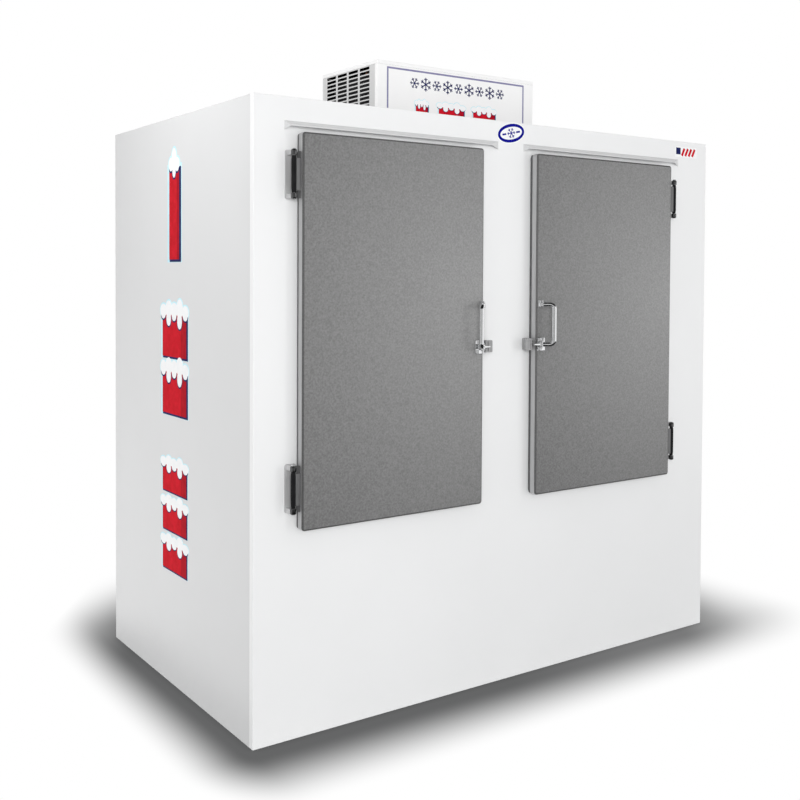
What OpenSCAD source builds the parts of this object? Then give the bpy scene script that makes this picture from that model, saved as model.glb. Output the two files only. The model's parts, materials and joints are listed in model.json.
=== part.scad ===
// Two-door ice merchandiser freezer: an insulated cabinet with two framed doors,
// a self-contained refrigeration unit under a louvred roof hood, and a cooler inside.
// Origin: the centre of the cabinet's base, on the floor. +Z up, the doors face -Y.

/* [Cabinet] */
// Width of the cabinet, side to side
cab_w = 1854; // [1800:1:2200]
// Depth of the cabinet, front to back
cab_d = 1050; // [950:1:1250]
// Height of the cabinet without the roof hood
cab_h = 1770; // [1760:1:1950]
// Thickness of the insulated walls
wall_t = 65; // [50:1:80]
// Thickness of the insulated floor
floor_t = 75; // [50:1:120]
// Thickness of the insulated ceiling
ceiling_t = 75; // [50:1:80]
// Thickness of the painted outer sheets
skin_t = 1; // [0.8:0.1:2]
// Thickness of the inner liner sheets
liner_t = 1; // [0.8:0.1:2]
// Width of the folded flanges along the sheet edges
flange_w = 24; // [15:1:40]

/* [Doors] */
// Width of each door
door_w = 635; // [580:1:660]
// Height of each door
door_h = 1088; // [900:1:1095]
// Height of the doors' lower edge above the floor
door_z = 585; // [500:1:600]
// Plain face between the cabinet's left side and the left door
left_margin = 131; // [110:1:160]
// Plain face between the right door and the cabinet's right side
right_margin = 233; // [180:1:260]
// Thickness of the door slab
door_t = 34; // [28:1:45]
// Thickness of the door's front sheet
door_skin_t = 1; // [0.8:0.1:2]
// Wall of the door's edge channel
edge_t = 1.5; // [1:0.1:2.5]
// Width of the edge channel's rear flange
edge_flange = 22; // [18:1:26]
// Corner radius of the doors
corner_r = 9; // [5:1:15]
// How far a door covers the face around its opening
overlap = 35; // [28:1:45]
// Depth by which the door's inner pan enters the opening
plug_h = 15; // [8:1:25]
// Gap between the inner pan and the opening's frame
plug_gap = 8; // [5:1:15]
// Distance from the cabinet face to the back of the door slab
seal_t = 5; // [4:0.5:8]
// Width of the door seal
seal_w = 16; // [10:1:18]
// Wall of the plastic frame that lines each opening
frame_t = 3; // [2:0.5:5]
// Width of the lining frame's inner lip
frame_lip = 12; // [6:1:20]

/* [Hinges] */
// Height of each hinge
hinge_h = 134; // [100:1:160]
// Distance from the door's ends to the hinge centres
hinge_inset = 115; // [90:1:160]
// Hinge axis: distance beside the door's edge
hinge_dx = 24; // [20:0.5:26]
// Hinge axis: distance in front of the cabinet face
hinge_dy = 30; // [26:0.5:32]
// Radius of the hinge knuckles
knuckle_r = 8.5; // [7.5:0.5:9.5]
// Height of each end knuckle
knuckle_h = 16; // [10:1:22]
// Radius of the hinge pins
pin_r = 4; // [3:0.5:5]
// Width of the hinge plates on the cabinet
plate_w = 35; // [28:1:40]
// Thickness of the hinge plates
plate_t = 3; // [2:0.5:4]

/* [Handles] */
// Height of the lower leg above the door's lower edge
handle_z = 483; // [300:1:600]
// Distance between the two legs of a handle
handle_h = 127; // [100:1:160]
// Reach of the handle from its pivot to the grip
handle_reach = 42; // [36:1:60]
// Angle of the handle out of the door's plane
handle_turn = 45; // [35:1:60]
// Radius of the handle's round bar
bar_r = 6.5; // [5:0.5:7.5]
// Radius of the handle's bends
bend_r = 14; // [10:1:20]
// Width of a strike on the cabinet face
strike_w = 28; // [24:1:36]
// Height of a strike
strike_h = 37; // [34:1:50]
// Gap between a door's edge and its strike
strike_gap = 12; // [8:1:16]

/* [Drip rails] */
// How far the left rail starts before its door's left edge
left_rail_start = 37; // [20:1:50]
// How far the left rail runs past its door's right edge
left_rail_end = 88; // [60:1:100]
// How far the right rail starts before its door's left edge
right_rail_start = 27; // [15:1:40]
// How far the right rail runs past its door's right edge
right_rail_end = 79; // [60:1:100]
// Gap between a door's top and its rail
rail_gap = 7; // [4:1:12]
// Height of a rail
rail_h = 25; // [18:1:35]
// Projection of a rail
rail_p = 18; // [12:1:30]

/* [Roof hood] */
// Width of the hood
hood_w = 672; // [640:1:760]
// Depth of the hood
hood_d = 338; // [320:1:420]
// Height of the hood
hood_h = 208; // [200:1:260]
// Distance from the cabinet's front to the hood
hood_y = 290; // [200:1:340]
// Thickness of the hood's sheets
hood_t = 1.2; // [0.8:0.1:2]
// Length of a louvre slot
slot_l = 52; // [30:1:56]
// Height of a louvre slot
slot_h = 7.4; // [4:0.1:9]
// Pitch of the slots in a column
slot_pitch = 13.6; // [12:0.1:20]
// Distance between the columns of slots
slot_column = 69.5; // [62:0.5:76]

/* [Refrigeration] */
// Blade radius of the condenser fan
cond_fan_r = 78; // [60:1:80]
// Blade radius of the cooler fan
evap_fan_r = 76; // [60:1:80]
// Width of the cooler housing under the ceiling
evap_w = 620; // [560:1:800]
// Depth of the cooler housing
evap_d = 320; // [300:1:360]
// Height of the cooler housing
evap_h = 190; // [185:1:220]
// Thickness of the cooler's sheets
evap_t = 1.2; // [0.8:0.1:2]
// Radius of the fan shafts
shaft_r = 3; // [2.5:0.5:4]
// Radius of the thermostat knob
knob_r = 18; // [12:1:24]
// Radius of the copper lines
line_r = 5; // [3:0.5:6]

/* [Hidden] */
$fn = 48;

// Colours, as the photograph shows them
white = [0.93, 0.93, 0.94];
side_white = [0.88, 0.89, 0.90];
grain_grey = [0.50, 0.50, 0.50];
edge_grey = [0.72, 0.72, 0.72];
steel = [0.80, 0.81, 0.82];
dark = [0.10, 0.10, 0.11];
copper = [0.72, 0.40, 0.25];
foam = [0.90, 0.84, 0.62];

// Running clearance, on the radius, of every pin and shaft
run_gap = 0.05;
// Clearance that keeps two moving pieces apart
part_gap = 0.5;
// Clearance between a door's seal and the face it closes on
seal_gap = 0.3;

// Cabinet planes
half_w = cab_w / 2;
front_y = -cab_d / 2;
rear_y = cab_d / 2;
in_x = half_w - wall_t;
in_y = cab_d / 2 - wall_t;
in_z0 = floor_t;
in_z1 = cab_h - ceiling_t;

// Roof hood and the passage for the lines
hood_x0 = -hood_w / 2;
hood_x1 = hood_w / 2;
hood_y0 = front_y + hood_y;
hood_y1 = hood_y0 + hood_d;
hood_z1 = cab_h + hood_h;
pass_w = 80;
pass_d = 50;
pass_x = -20;
pass_inset = 65;
pass_y = hood_y1 - pass_inset;

// Condensing unit
tray_t = 2;
tray_gap = 2;
deck_z = cab_h + tray_t;
tip_gap = 5;
ring_t = 2;
ring_l = 30;
coil_gap = 25;
coil_t = 45;
coil_h = 2 * (cond_fan_r + tip_gap + ring_t) + 5;
coil_x0 = hood_x0 + coil_gap;
coil_x1 = coil_x0 + coil_t;
coil_y0 = hood_y0 + coil_gap;
coil_y1 = hood_y1 - coil_gap;
unit_y = (hood_y0 + hood_y1) / 2;
cond_z = deck_z + coil_h / 2;
ring_x1 = coil_x1 + ring_t + ring_l;
arm_t = 6;
cond_motor_r = 30;
cond_motor_l = 58;
control_gap = 20;
control_w = 90;
control_d = 114;
control_h = 104;
comp_r = 66;
comp_side = 26;
terminal_w = 56;
terminal_z0 = 50;
terminal_z1 = 110;
stub_foot = 20;
stub_top = 2;
comp_gap = 14;
comp_x = hood_x1 - control_gap - control_w - comp_gap - comp_side - comp_r;
comp_h = 150;
comp_foot = 12;
comp_top = deck_z + comp_foot + comp_h;
stub_y = -40;
side_stub_h = 40;

// Cooler under the ceiling
evap_lead = 60;
evap_y0 = pass_y - evap_lead;
evap_y1 = evap_y0 + evap_d;
evap_z0 = in_z1 - evap_h;
evap_z = in_z1 - evap_h / 2;
evap_coil_d = 80;
evap_coil_h = 150;
evap_coil_gap = 40;
evap_coil_y1 = evap_y1 - evap_coil_gap;
evap_coil_y0 = evap_coil_y1 - evap_coil_d;
evap_motor_r = 34;
evap_motor_l = 52;
pan_h = 22;
spout_l = 34;
spout_r = 10;
spout_wall = 2;
knob_inset = 80;
knob_x = evap_w / 2 - knob_inset;
knob_l = 15;
boss_l = 12;
boss_r = 8;

// Door slab, seen from the cabinet face outwards
slab_back = -seal_t;
slab_front = -seal_t - door_t;
skin_back = slab_front + door_skin_t;
flange_front = slab_back - edge_t;
plug_inset = overlap + frame_t + plug_gap;
seal_inset = 4;

// Latch and handle
lug_t = 3;
knuckle_hr = 7;
pivot_in = 11;
pivot_y = slab_front - lug_t - knuckle_hr - part_gap;
upper_z = handle_z + handle_h;
latch_pin_r = 3;
ear_t = 4;
hub_h = 33;
cap_h = 16;
latch_h = hub_h + 2 * part_gap + 2 * ear_t;
post_r = 4.5;
post_y = pivot_y + 17.5;
post_x = door_w + strike_gap + 6;

// A block between two opposite corners
module block(lo, hi) {
    translate(lo) cube(hi - lo);
}

// A round bar between two points along one axis direction
module rod(from, axis, r, l) {
    translate(from) rotate(axis == "x" ? [0, 90, 0] : axis == "y" ? [-90, 0, 0] : [0, 0, 0])
        cylinder(r = r, h = l);
}

// An upright plate with round corners, w wide and h high, from y = y0 to y = y1
module round_plate(x0, z0, w, h, r, y0, y1) {
    translate([x0, y1, z0]) rotate([90, 0, 0]) linear_extrude(y1 - y0) union() {
        translate([r, 0]) square([w - 2 * r, h]);
        translate([0, r]) square([w, h - 2 * r]);
        for (x = [r, w - r], z = [r, h - r]) translate([x, z]) circle(r = r);
    }
}

// A frame of that kind: the plate, open in the middle
module round_ring(inset, w_ring, r, y0, y1) {
    difference() {
        round_plate(inset, inset, door_w - 2 * inset, door_h - 2 * inset, r, y0, y1);
        block([inset + w_ring, y0 - 1, inset + w_ring],
              [door_w - inset - w_ring, y1 + 1, door_h - inset - w_ring]);
    }
}

// Places a door's pieces: x from the hinge edge, y from the cabinet face, z from its foot
module at_left_door() {
    translate([-half_w + left_margin, front_y, door_z]) children();
}

module at_right_door() {
    translate([half_w - right_margin, front_y, door_z]) mirror([1, 0, 0]) children();
}

// The passage for the copper lines through roof, foam and ceiling
module line_passage(z0, z1) {
    block([pass_x - pass_w / 2, pass_y - pass_d / 2, z0],
          [pass_x + pass_w / 2, pass_y + pass_d / 2, z1]);
}

// What each opening takes out of the front wall
module opening_cut(y0, y1) {
    block([overlap, y0, overlap], [door_w - overlap, y1, door_h - overlap]);
}

// ---- Cabinet shell ----

module base_pan() {
    color(side_white) {
        block([-half_w + skin_t, front_y + skin_t, 0], [half_w - skin_t, rear_y - skin_t, skin_t]);
        for (y = [front_y + skin_t, rear_y - 2 * skin_t])
            block([-half_w + flange_w, y, 0], [half_w - flange_w, y + skin_t, flange_w]);
    }
}

module side_panel() {
    block([-half_w, front_y + skin_t, 0], [-half_w + skin_t, rear_y - skin_t, cab_h]);
    for (y = [front_y + skin_t, rear_y - 2 * skin_t])
        block([-half_w, y, skin_t], [-half_w + flange_w, y + skin_t, cab_h - skin_t]);
}

module left_side_panel() {
    color(side_white) side_panel();
}

module right_side_panel() {
    color(side_white) mirror([1, 0, 0]) side_panel();
}

module rear_panel() {
    color(side_white) block([-half_w, rear_y - skin_t, 0], [half_w, rear_y, cab_h]);
}

module roof_panel() {
    color(white) {
        difference() {
            block([-half_w + skin_t, front_y + skin_t, cab_h - skin_t],
                  [half_w - skin_t, rear_y - skin_t, cab_h]);
            line_passage(cab_h - skin_t - 1, cab_h + 1);
        }
        for (y = [front_y + skin_t, rear_y - 2 * skin_t])
            block([-half_w + flange_w, y, cab_h - flange_w], [half_w - flange_w, y + skin_t, cab_h - skin_t]);
    }
}

module front_panel() {
    color(white) difference() {
        block([-half_w, front_y, 0], [half_w, front_y + skin_t, cab_h]);
        at_left_door() opening_cut(-1, skin_t + 1);
        at_right_door() opening_cut(-1, skin_t + 1);
    }
}

module insulation() {
    color(foam) difference() {
        block([-half_w + skin_t, front_y + 2 * skin_t, skin_t],
              [half_w - skin_t, rear_y - 2 * skin_t, cab_h - skin_t]);
        block([-in_x - liner_t, -in_y - liner_t, in_z0 - liner_t],
              [in_x + liner_t, in_y + liner_t, in_z1 + liner_t]);
        at_left_door() opening_cut(0, wall_t);
        at_right_door() opening_cut(0, wall_t);
        line_passage(in_z1, cab_h);
    }
}

// ---- Inner liner ----

module side_liner() {
    block([-in_x - liner_t, -in_y - liner_t, in_z0], [-in_x, in_y + liner_t, in_z1]);
}

module left_liner() {
    color(steel) side_liner();
}

module right_liner() {
    color(steel) mirror([1, 0, 0]) side_liner();
}

module rear_liner() {
    color(steel) block([-in_x, in_y, in_z0], [in_x, in_y + liner_t, in_z1]);
}

module floor_liner() {
    color(steel) block([-in_x - liner_t, -in_y - liner_t, in_z0 - liner_t],
                       [in_x + liner_t, in_y + liner_t, in_z0]);
}

module ceiling_liner() {
    color(steel) difference() {
        block([-in_x - liner_t, -in_y - liner_t, in_z1], [in_x + liner_t, in_y + liner_t, in_z1 + liner_t]);
        line_passage(in_z1 - 1, in_z1 + liner_t + 1);
    }
}

module front_liner() {
    color(steel) difference() {
        block([-in_x, -in_y - liner_t, in_z0], [in_x, -in_y, in_z1]);
        at_left_door() opening_cut(wall_t - liner_t - 1, wall_t + 1);
        at_right_door() opening_cut(wall_t - liner_t - 1, wall_t + 1);
    }
}

// ---- Plastic frame that lines an opening, with a lip over the liner ----

module opening_frame() {
    difference() {
        union() {
            opening_cut(0, wall_t + frame_t);
            block([overlap - frame_lip, wall_t, overlap - frame_lip],
                  [door_w - overlap + frame_lip, wall_t + frame_t, door_h - overlap + frame_lip]);
        }
        block([overlap + frame_t, -1, overlap + frame_t],
              [door_w - overlap - frame_t, wall_t + frame_t + 1, door_h - overlap - frame_t]);
    }
}

module left_opening_frame() {
    color(white) at_left_door() opening_frame();
}

module right_opening_frame() {
    color(white) at_right_door() opening_frame();
}

// ---- Drip rails: a sloping sheet with a lip, open below, closed by slanted tabs at its ends ----

rail_lip_z = rail_h * 0.36;
rail_lip_h = 3.5;
rail_end = rail_p * 1.2;
rail_t = 1.5;
// How much longer the sheet's wall is, measured along the rail through its slanted tabs
tab_run = rail_t * sqrt(1 + pow(rail_end / rail_p, 2));

module drip_rail(l) {
    slope = (rail_h - rail_lip_z - rail_lip_h) / rail_p;
    under = rail_h - rail_t * sqrt(1 + slope * slope);
    behind_lip = rail_p - rail_t;
    difference() {
        intersection() {
            rotate([90, 0, 90]) linear_extrude(l)
                polygon([[0, rail_h], [-rail_p, rail_lip_z + rail_lip_h], [-rail_p, rail_lip_z], [0, 0]]);
            linear_extrude(rail_h)
                polygon([[0, 0], [rail_end, -rail_p], [l - rail_end, -rail_p], [l, 0]]);
        }
        intersection() {
            rotate([90, 0, 90]) linear_extrude(l)
                polygon([[1, under + slope], [-behind_lip, under - slope * behind_lip],
                         [-behind_lip, -1], [1, -1]]);
            translate([0, 0, -1]) linear_extrude(rail_h + 2)
                polygon([[tab_run - rail_end / rail_p, 1], [tab_run + rail_end, -rail_p],
                         [l - tab_run - rail_end, -rail_p], [l - tab_run + rail_end / rail_p, 1]]);
        }
    }
}

rail_z = door_z + door_h + rail_gap;

module left_drip_rail() {
    color(white) translate([-half_w + left_margin - left_rail_start, front_y, rail_z])
        drip_rail(left_rail_start + door_w + left_rail_end);
}

module right_drip_rail() {
    color(white) translate([half_w - right_margin - door_w - right_rail_start, front_y, rail_z])
        drip_rail(right_rail_start + door_w + right_rail_end);
}

// ---- Hinges ----

hinge_levels = [hinge_inset, door_h - hinge_inset];
sleeve_h = hinge_h - 2 * knuckle_h - 2 * part_gap;
sleeve_r = knuckle_r - 0.5;
strap_h = sleeve_h - 12;
strap_t = 2.5;

module hinge_plates() {
    for (z = hinge_levels) translate([-hinge_dx, -hinge_dy, z]) {
        block([hinge_dx - 1 - plate_w, hinge_dy - plate_t, -hinge_h / 2],
              [hinge_dx - 1, hinge_dy, hinge_h / 2]);
        for (k = [-hinge_h / 2, hinge_h / 2 - knuckle_h]) difference() {
            union() {
                rod([0, 0, k], "z", knuckle_r, knuckle_h);
                block([-knuckle_r + 2, 0, k], [knuckle_r - 2, hinge_dy - plate_t, k + knuckle_h]);
            }
            rod([0, 0, k - 1], "z", pin_r + run_gap, knuckle_h + 2);
        }
    }
}

module left_hinge_plates() {
    color(steel) at_left_door() hinge_plates();
}

module right_hinge_plates() {
    color(steel) at_right_door() hinge_plates();
}

pin_head = 2;

module door_pins() {
    for (z = hinge_levels) translate([-hinge_dx, -hinge_dy, z]) {
        rod([0, 0, -hinge_h / 2], "z", pin_r, hinge_h);
        rod([0, 0, hinge_h / 2], "z", knuckle_r - 1.5, pin_head);
    }
}

module hinge_pins() {
    color(steel) {
        at_left_door() door_pins();
        at_right_door() door_pins();
    }
}

module hinge_straps() {
    for (z = hinge_levels) translate([0, 0, z]) difference() {
        union() {
            block([-strap_t, slab_front + plate_t, -strap_h / 2], [0, slab_back - plate_t, strap_h / 2]);
            block([-hinge_dx + 2, -hinge_dy - sleeve_r / 2, -strap_h / 2],
                  [-strap_t, -hinge_dy + sleeve_r / 2, strap_h / 2]);
        }
        rod([-hinge_dx, -hinge_dy, -strap_h], "z", sleeve_r, 2 * strap_h);
    }
}

module left_hinge_straps() {
    color(steel) at_left_door() hinge_straps();
}

module right_hinge_straps() {
    color(steel) at_right_door() hinge_straps();
}

module hinge_sleeves() {
    for (z = hinge_levels) translate([-hinge_dx, -hinge_dy, z]) difference() {
        rod([0, 0, -sleeve_h / 2], "z", sleeve_r, sleeve_h);
        rod([0, 0, -sleeve_h], "z", pin_r + run_gap, 2 * sleeve_h);
    }
}

module left_hinge_sleeves() {
    color(dark) at_left_door() hinge_sleeves();
}

module right_hinge_sleeves() {
    color(dark) at_right_door() hinge_sleeves();
}

// ---- Strikes on the cabinet face: a post between two ears, beside a raised pad ----

module strike() {
    ear = 3.5;
    ear_w = 2 * post_r + 4;
    translate([0, 0, handle_z]) {
        block([door_w + strike_gap, -plate_t, -strike_h / 2],
              [door_w + strike_gap + strike_w, 0, strike_h / 2]);
        block([door_w + strike_gap + ear_w, post_y - post_r, -strike_h / 2],
              [door_w + strike_gap + strike_w, -plate_t, strike_h / 2]);
        for (z = [-strike_h / 2, strike_h / 2 - ear])
            block([door_w + strike_gap, post_y - post_r, z],
                  [door_w + strike_gap + ear_w, -plate_t, z + ear]);
        rod([post_x, post_y, -strike_h / 2 + ear], "z", post_r, strike_h - 2 * ear);
    }
}

module left_strike() {
    color(steel) at_left_door() strike();
}

module right_strike() {
    color(steel) at_right_door() strike();
}

// ---- Doors ----

module door_skin() {
    round_plate(0, 0, door_w, door_h, corner_r, slab_front, skin_back);
}

module left_door_skin() {
    color(grain_grey) at_left_door() door_skin();
}

module right_door_skin() {
    color(grain_grey) at_right_door() door_skin();
}

module door_edge() {
    difference() {
        round_plate(0, 0, door_w, door_h, corner_r, skin_back, slab_back);
        round_plate(edge_t, edge_t, door_w - 2 * edge_t, door_h - 2 * edge_t, corner_r - edge_t,
                    skin_back - 1, flange_front);
        block([edge_flange, flange_front - 1, edge_flange],
              [door_w - edge_flange, slab_back + 1, door_h - edge_flange]);
    }
}

module left_door_edge() {
    color(edge_grey) at_left_door() door_edge();
}

module right_door_edge() {
    color(edge_grey) at_right_door() door_edge();
}

module door_foam() {
    pan = plug_inset + edge_t;
    round_plate(edge_t, edge_t, door_w - 2 * edge_t, door_h - 2 * edge_t, corner_r - edge_t,
                skin_back, flange_front);
    block([pan, flange_front, pan], [door_w - pan, slab_back + plug_h - edge_t, door_h - pan]);
}

module left_door_foam() {
    color(foam) at_left_door() door_foam();
}

module right_door_foam() {
    color(foam) at_right_door() door_foam();
}

module door_liner() {
    pan = plug_inset + edge_t;
    difference() {
        union() {
            block([edge_flange, flange_front, edge_flange],
                  [door_w - edge_flange, slab_back, door_h - edge_flange]);
            block([plug_inset, slab_back, plug_inset],
                  [door_w - plug_inset, slab_back + plug_h, door_h - plug_inset]);
        }
        block([pan, flange_front - 1, pan], [door_w - pan, slab_back + plug_h - edge_t, door_h - pan]);
    }
}

module left_door_liner() {
    color(steel) at_left_door() door_liner();
}

module right_door_liner() {
    color(steel) at_right_door() door_liner();
}

module door_seal() {
    round_ring(seal_inset, seal_w, corner_r - seal_inset, slab_back, -seal_gap);
}

module left_door_seal() {
    color(dark) at_left_door() door_seal();
}

module right_door_seal() {
    color(dark) at_right_door() door_seal();
}

// ---- Latch body: a foot with two ears and a pin, and a smaller one for the upper leg ----

module latch_body() {
    foot_w = 24;
    ear_w = 9;
    pin_l = cap_h + 2;
    translate([door_w - pivot_in, 0, handle_z]) {
        block([-foot_w + pivot_in - 1, slab_front - lug_t, -latch_h / 2],
              [pivot_in - 1, slab_front, latch_h / 2]);
        for (z = [-latch_h / 2, latch_h / 2 - ear_t])
            block([-ear_w, pivot_y - ear_w, z], [ear_w, slab_front - lug_t, z + ear_t]);
        rod([0, pivot_y, -latch_h / 2], "z", latch_pin_r, latch_h);
    }
    translate([door_w - pivot_in, 0, upper_z]) {
        block([-ear_w, slab_front - lug_t, -cap_h / 2], [ear_w, slab_front, cap_h / 2 + part_gap + ear_t]);
        block([-ear_w, pivot_y - ear_w, cap_h / 2 + part_gap],
              [ear_w, slab_front, cap_h / 2 + part_gap + ear_t]);
        rod([0, pivot_y, cap_h / 2 + part_gap - pin_l], "z", latch_pin_r, pin_l);
    }
}

module left_latch_body() {
    color(steel) at_left_door() latch_body();
}

module right_latch_body() {
    color(steel) at_right_door() latch_body();
}

// ---- Handle: two hubs on the pivot line, a round bar bent to a D, and a short tongue ----

module handle() {
    tongue_l = pivot_in + strike_gap + 8;
    tongue_t = 8;
    translate([door_w - pivot_in, pivot_y, 0]) difference() {
        union() {
            rod([0, 0, handle_z - hub_h / 2], "z", knuckle_hr, hub_h);
            rod([0, 0, upper_z - cap_h / 2], "z", knuckle_hr, cap_h);
            rotate([0, 0, 180 + handle_turn]) {
                for (z = [handle_z, upper_z]) rod([0, 0, z], "x", bar_r, handle_reach - bend_r);
                rod([handle_reach, 0, handle_z + bend_r], "z", bar_r, handle_h - 2 * bend_r);
                translate([handle_reach - bend_r, 0, handle_z + bend_r]) rotate([90, 90, 0])
                    rotate_extrude(angle = 90) translate([bend_r, 0]) circle(r = bar_r);
                translate([handle_reach - bend_r, 0, upper_z - bend_r]) rotate([90, 0, 0])
                    rotate_extrude(angle = 90) translate([bend_r, 0]) circle(r = bar_r);
            }
            block([0, -tongue_t / 2, handle_z - tongue_t / 2],
                  [tongue_l, tongue_t / 2, handle_z + tongue_t / 2]);
        }
        rod([0, 0, handle_z - hub_h], "z", latch_pin_r + run_gap, 2 * hub_h);
        rod([0, 0, upper_z - cap_h], "z", latch_pin_r + run_gap, 2 * cap_h);
    }
}

module left_handle() {
    color(steel) at_left_door() handle();
}

module right_handle() {
    color(steel) at_right_door() handle();
}

// ---- Roof hood ----

slot_rows = floor((hood_h - 44) / slot_pitch) + 1;
slot_columns = 4;
slot_top = 26;

module hood_front() {
    color(white) {
        block([hood_x0, hood_y0, cab_h], [hood_x1, hood_y0 + hood_t, hood_z1 - hood_t]);
        for (x = [hood_x0 + hood_t, hood_x1 - 2 * hood_t])
            block([x, hood_y0, cab_h], [x + hood_t, hood_y0 + flange_w, hood_z1 - hood_t]);
    }
}

module louvre_panel() {
    difference() {
        block([hood_x0, hood_y0 + hood_t, cab_h], [hood_x0 + hood_t, hood_y1 - hood_t, hood_z1 - hood_t]);
        for (c = [0 : slot_columns - 1], r = [0 : slot_rows - 1])
            translate([hood_x0 - 1, unit_y + (c - (slot_columns - 1) / 2) * slot_column - slot_l / 2,
                       hood_z1 - slot_top - r * slot_pitch])
                cube([hood_t + 2, slot_l, slot_h]);
    }
}

module hood_left_louvre() {
    color(side_white) louvre_panel();
}

module hood_right_louvre() {
    color(side_white) mirror([1, 0, 0]) louvre_panel();
}

gland_inset = 90;
gland_rise = 50;
gland_x = hood_x1 - gland_inset;
gland_z = cab_h + gland_rise;
gland_r = 8;

module hood_rear() {
    color(side_white) difference() {
        union() {
            block([hood_x0, hood_y1 - hood_t, cab_h], [hood_x1, hood_y1, hood_z1 - hood_t]);
            for (x = [hood_x0 + hood_t, hood_x1 - 2 * hood_t])
                block([x, hood_y1 - flange_w, cab_h], [x + hood_t, hood_y1, hood_z1 - hood_t]);
        }
        rod([gland_x, hood_y1 - 10, gland_z], "y", gland_r + run_gap, 20);
    }
}

module hood_top() {
    color(white) block([hood_x0, hood_y0, hood_z1 - hood_t], [hood_x1, hood_y1, hood_z1]);
}

module cord_gland() {
    color(dark) difference() {
        union() {
            rod([gland_x, hood_y1 - hood_t - 6, gland_z], "y", gland_r, hood_t + 22);
            rod([gland_x, hood_y1, gland_z], "y", gland_r + 4, 8);
            rod([gland_x, hood_y1 - hood_t - 5, gland_z], "y", gland_r + 4, 5);
        }
        rod([gland_x, hood_y1 - 20, gland_z], "y", gland_r - 3, 60);
    }
}

// ---- Condensing unit under the hood ----

module unit_tray() {
    edge = hood_t * 2 + tray_gap;
    color(steel) difference() {
        block([hood_x0 + edge, hood_y0 + edge, cab_h], [hood_x1 - edge, hood_y1 - edge, deck_z]);
        line_passage(cab_h - 1, deck_z + 1);
    }
}

module compressor() {
    foot = 150;
    color(dark) translate([comp_x, unit_y, deck_z]) {
        rotate_extrude() polygon([[0, comp_foot], [comp_r - 10, comp_foot], [comp_r - 3, comp_foot + 8],
            [comp_r - 3, comp_h * 0.45], [comp_r, comp_h * 0.45], [comp_r, comp_h * 0.55],
            [comp_r - 3, comp_h * 0.55], [comp_r - 3, comp_h - 20], [comp_r - 18, comp_h + 2],
            [0, comp_foot + comp_h]]);
        block([-foot / 2, -foot / 2, comp_foot - 4], [foot / 2, foot / 2, comp_foot]);
        for (x = [-1, 1], y = [-1, 1])
            rod([x * (foot / 2 - 12), y * (foot / 2 - 12), 0], "z", 10, comp_foot - 4);
        block([comp_r - 8, -terminal_w / 2, terminal_z0], [comp_r + comp_side, terminal_w / 2, terminal_z1]);
        rod([0, stub_y, comp_h - stub_foot], "z", line_r + 2, comp_foot + stub_foot + stub_top);
    }
}

fin_pitch = 14;

module condenser_coil() {
    color(edge_grey) {
        block([coil_x0 + 3, coil_y0, deck_z], [coil_x1 - 3, coil_y1, deck_z + coil_h]);
        for (y = [coil_y0, coil_y1 - 3])
            block([coil_x0, y, deck_z], [coil_x1, y + 3, deck_z + coil_h]);
        for (z = [0 : floor((coil_h - 16) / fin_pitch) - 1])
            rod([coil_x0 + coil_t / 2, coil_y0 - 8, deck_z + 14 + z * fin_pitch], "y", 4,
                coil_y1 - coil_y0 + 16);
    }
}

module fan_shroud() {
    color(dark) difference() {
        union() {
            block([coil_x1, coil_y0, deck_z], [coil_x1 + ring_t, coil_y1, deck_z + coil_h]);
            rod([coil_x1, unit_y, cond_z], "x", cond_fan_r + tip_gap + ring_t, ring_t + ring_l);
        }
        rod([coil_x1 - 1, unit_y, cond_z], "x", cond_fan_r + tip_gap, ring_l + 10);
    }
}

// A motor with three arms that reach the ring around its fan; it lies along +X
module fan_motor(motor_r, motor_l, arm_l) {
    difference() {
        union() {
            rod([0, 0, 0], "x", motor_r, motor_l);
            for (a = [90, 210, 330]) rotate([a, 0, 0]) block([0, 0, -arm_t], [arm_t, arm_l, arm_t]);
        }
        rod([-1, 0, 0], "x", shaft_r + run_gap, motor_l * 0.6);
    }
}

fan_hub_r = 14;
blade_t = 1.6;
blade_pitch = 32;

// Fan with pitched blades on a hub and its shaft; the shaft points along +X
module fan(r, width, shaft_l) {
    rod([0, 0, 0], "x", fan_hub_r, width);
    rod([0, 0, 0], "x", shaft_r, shaft_l);
    intersection() {
        for (a = [0 : 72 : 359]) rotate([a, 0, 0]) translate([width / 2, 0, fan_hub_r - 2])
            rotate([0, 0, blade_pitch]) block([-width, -blade_t / 2, 0], [width, blade_t / 2, r - fan_hub_r]);
        rod([0, 0, 0], "x", r, width);
    }
}

module condenser_motor() {
    color(dark) translate([ring_x1, unit_y, cond_z])
        fan_motor(cond_motor_r, cond_motor_l, cond_fan_r + tip_gap + ring_t);
}

module condenser_fan() {
    color(edge_grey) translate([coil_x1 + ring_t + 4, unit_y, cond_z]) fan(cond_fan_r, 20, ring_l + 20);
}

lid_step = 2;

module control_box() {
    color(side_white) {
        translate([hood_x1 - control_gap - control_w, hood_y0 + control_gap, deck_z]) {
            block([lid_step, lid_step, 0], [control_w - lid_step, control_d - lid_step, control_h - 4]);
            block([0, 0, control_h - 8], [control_w, control_d, control_h]);
        }
    }
}

// A copper line through a list of points, with round elbows
module line(points) {
    for (i = [0 : len(points) - 2]) {
        d = points[i + 1] - points[i];
        l = norm(d);
        translate(points[i]) rotate([0, acos(d.z / l), atan2(d.y, d.x)]) cylinder(r = line_r, h = l);
    }
    for (i = [1 : len(points) - 2]) translate(points[i]) sphere(r = line_r);
}

top_gap = 8;
run_drop = 9;
low_gap = 7;
line_spread = 20;
line_inset = 12;
comp_wall = 3;

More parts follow.
